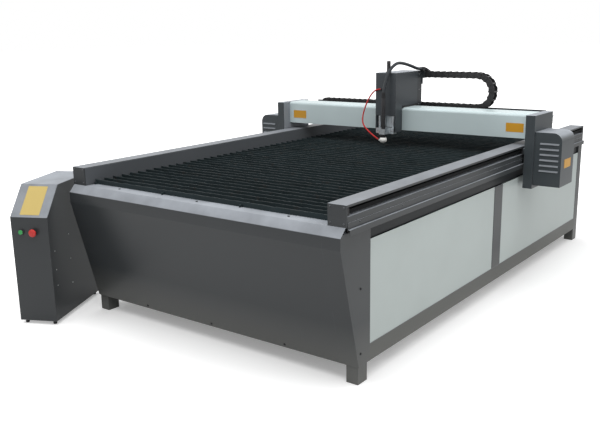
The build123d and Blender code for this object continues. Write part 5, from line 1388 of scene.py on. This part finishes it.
for step in range(guide_steps + 1):
    share = step / guide_steps
    guide_path.append(guide_from.lerp(guide_knee, share).lerp(guide_knee.lerp(guide_to, share), share))
    guide_radii.append(guide_r - guide_taper * share - guide_groove * (step % 2))
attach(tube("lead_guide", guide_path, guide_radii, soft_rubber), "carriage")

# Control cabinet: folded grey sheet on four rubber feet, turned towards the operator. Small screws hold its
# sides and the plate inside; a blank yellow plate is riveted to its slope.
cabinet_spot = Vector((-0.918, -1.789, 0))
cabinet_turn = radians(26.2)
cabinet = Matrix.Translation(cabinet_spot) @ Matrix.Rotation(cabinet_turn, 4, "Z")
cabinet_half = 0.1025
side_dir = cabinet.col[0].to_3d()
depth_dir = cabinet.col[1].to_3d()
case_edge = 0.6 * mm
front_edge = 0.8 * mm
side_screws = [(0.045, 0.205), (0.045, 0.290), (0.045, 0.390)]
side_screws += [(0.205, 0.170), (0.205, 0.305), (0.205, 0.440)]
slope_foot = 0.576
slope_run = 0.137
slope_rise = 0.146
yellow = (0.54, 0.41, 0.135)
yellow_rubbed = (0.6, 0.5, 0.25)
yellow_w = 0.107
yellow_h = 0.172
yellow_t = 1.0 * mm
dress("cabinet_case", grey_coat, case_edge)
dress("cabinet_front", grey_coat, front_edge)
dress("cabinet_door", grey_coat, case_edge)
bm = bmesh.new()
foot_line = [(0, 0), (8.5, 0), (9.6, 1.0), (10.0, 3.0), (10.0, 8.0), (9.0, 12.0), (9.0, 20.0), (0, 20.0)]
for foot in solids("cabinet_feet"):
    low, high = box_of(foot)
    middle = (low + high) / 2
    turned(bm, sized(foot_line, mm, mm), Matrix.Translation((middle.x, middle.y, low.z)), steps=28)
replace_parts(piece("turned_cabinet_feet", bm, soft_rubber, "table"), "cabinet_feet")
bm = bmesh.new()
for side in (-1, 1):
    for depth, height in side_screws:
        spot = cabinet @ Vector((side * cabinet_half, depth, height))
        button_head(bm, facing_place(spot, side_dir * side), cover_screw_r, small_head_sides)
piece("cabinet_screws", bm, zinc_plate, "table")
yellow_plate = painted("yellow_plate", yellow, yellow_rubbed, rough=0.42, top_dust_and_light=0.0)
slope_out = side_dir.cross((depth_dir * slope_run + Vector((0, 0, slope_rise))).normalized())
slope_middle = cabinet @ Vector((0, slope_run / 2, slope_foot + slope_rise / 2))
bm = bmesh.new()
framed_plate(bm, upright_place(slope_middle, slope_out), yellow_w, yellow_h, yellow_t)
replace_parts(piece("blank_yellow_plate", bm, yellow_plate, "table"), "cabinet_plate")

# Push buttons: black moulded bezels, set in the cabinet's front with a bored sleeve behind. A dished green
# start cap and a red mushroom stop slide in the sleeves on their stems.
button_z = 0.499
button_x = {"start": -0.0465, "stop": 0.0235}
button_sides = 48
start_green = moulded("start_green", (0.030, 0.30, 0.075), rough=0.32, grain=900.0, depth=0.1)
stop_red = moulded("stop_red", (0.46, 0.020, 0.017), rough=0.30, grain=900.0, depth=0.1)
collar_line = [(8.0, -20.0), (8.0, 1.5), (11.6, 1.5), (11.6, 9.0), (13.2, 9.0), (14.2, 8.4), (15.0, 7.0)]
collar_line += [(15.0, 3.0), (14.4, 2.6), (14.4, 2.0), (15.0, 1.6), (15.0, 0), (11.0, 0), (11.0, -20.0)]
collar_line += [(8.0, -20.0)]
start_line = [(0, 12.3), (7.5, 12.5), (9.8, 13.0), (11.0, 12.7), (11.5, 12.0), (11.5, 6.6)]
start_line += [(7.9, 6.6), (7.9, -15.0), (0, -15.0)]
stop_line = [(0, 27.0), (9.0, 26.8), (14.5, 26.0), (18.2, 24.2), (19.6, 22.2), (20.0, 20.0)]
stop_line += [(20.0, 16.6), (19.2, 15.4), (18.0, 15.0), (7.9, 15.0), (7.9, -15.0), (0, -15.0)]
fittings = [("start", start_line, start_green, "start_button", "green_plastic")]
fittings += [("stop", stop_line, stop_red, "stop_button", "red_plastic")]
collars = bmesh.new()
for name, line, material, node, slot in fittings:
    seat = facing_place(cabinet @ Vector((button_x[name], 0, button_z)), -depth_dir)
    turned(collars, sized(collar_line, mm, mm), seat, button_sides)
    bm = bmesh.new()
    turned(bm, sized(line, mm, mm), seat, button_sides)
    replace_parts(piece(name + "_push_button", bm, material, node), node)
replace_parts(piece("button_bezels", collars, black_plastic, "table"), "button_collars")

# Behind the rear door: a zinc plate with three axis drives and a power supply, the door's hinges and its
# quarter-turn lock. The drives are grey cases with cooling fins and green terminal strips.
inner_plate_edge = 0.4 * mm
hinge_edge = 0.3 * mm
drive_edge = 1.2 * mm
fin_count = 7
fin_t = 1.6 * mm
fin_depth = 6.0 * mm
fin_inset = 2.0 * mm
fin_end = 0.022
fin_edge = 0.3 * mm
terminal_count = 8
terminal_inset = 3.0 * mm
terminal_top = 0.016
terminal_gap = 0.5 * mm
terminal_edge = 0.4 * mm
drive_grey = moulded("drive_grey", (0.16, 0.165, 0.17), rough=0.45, grain=900.0, depth=0.15)
dress("mounting_plate", zinc_plate, inner_plate_edge)
dress("door_hinges", zinc_plate, hinge_edge)
dress("door_lock", zinc_plate, case_edge)


def soft_box(bm, low, high, edge, place):
    """Adds a box with eased edges between two local corners."""
    size = Vector(high) - Vector(low)
    middle = (Vector(high) + Vector(low)) / 2
    rings = []
    for level, inset in ((low[2], edge), (low[2] + edge, 0), (high[2] - edge, 0), (high[2], edge)):
        flat = soft_rectangle(size.x - 2 * inset, size.y - 2 * inset, 1.2 * edge, level, steps=3)
        rings.append([(middle.x + x, middle.y + y, z) for x, y, z in flat])
    stacked(bm, rings, place)


inward = cabinet.inverted()
cases = bmesh.new()
strips = bmesh.new()
for module in solids("drive_modules"):
    low, high = box_of([inward @ corner for corner in module])
    back = high.y - fin_depth
    width = high.x - low.x
    soft_box(cases, low, (high.x, back, high.z), drive_edge, cabinet)
    for fin in range(fin_count):
        x = low.x + fin_inset + (width - 2 * fin_inset - fin_t) * fin / (fin_count - 1)
        fin_low = (x, back, low.z + fin_end)
        fin_high = (x + fin_t, high.y, high.z - fin_end)
        soft_box(cases, fin_low, fin_high, fin_edge, cabinet)
    span = (width - 2 * terminal_inset) / terminal_count
    for block in range(terminal_count):
        x = low.x + terminal_inset + span * block
        block_low = (x, back, low.z + terminal_inset)
        block_high = (x + span - terminal_gap, high.y, low.z + terminal_top)
        soft_box(strips, block_low, block_high, terminal_edge, cabinet)
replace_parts(piece("finned_drives", cases, drive_grey, "table"), "drive_modules")
piece("drive_terminals", strips, start_green, "table")
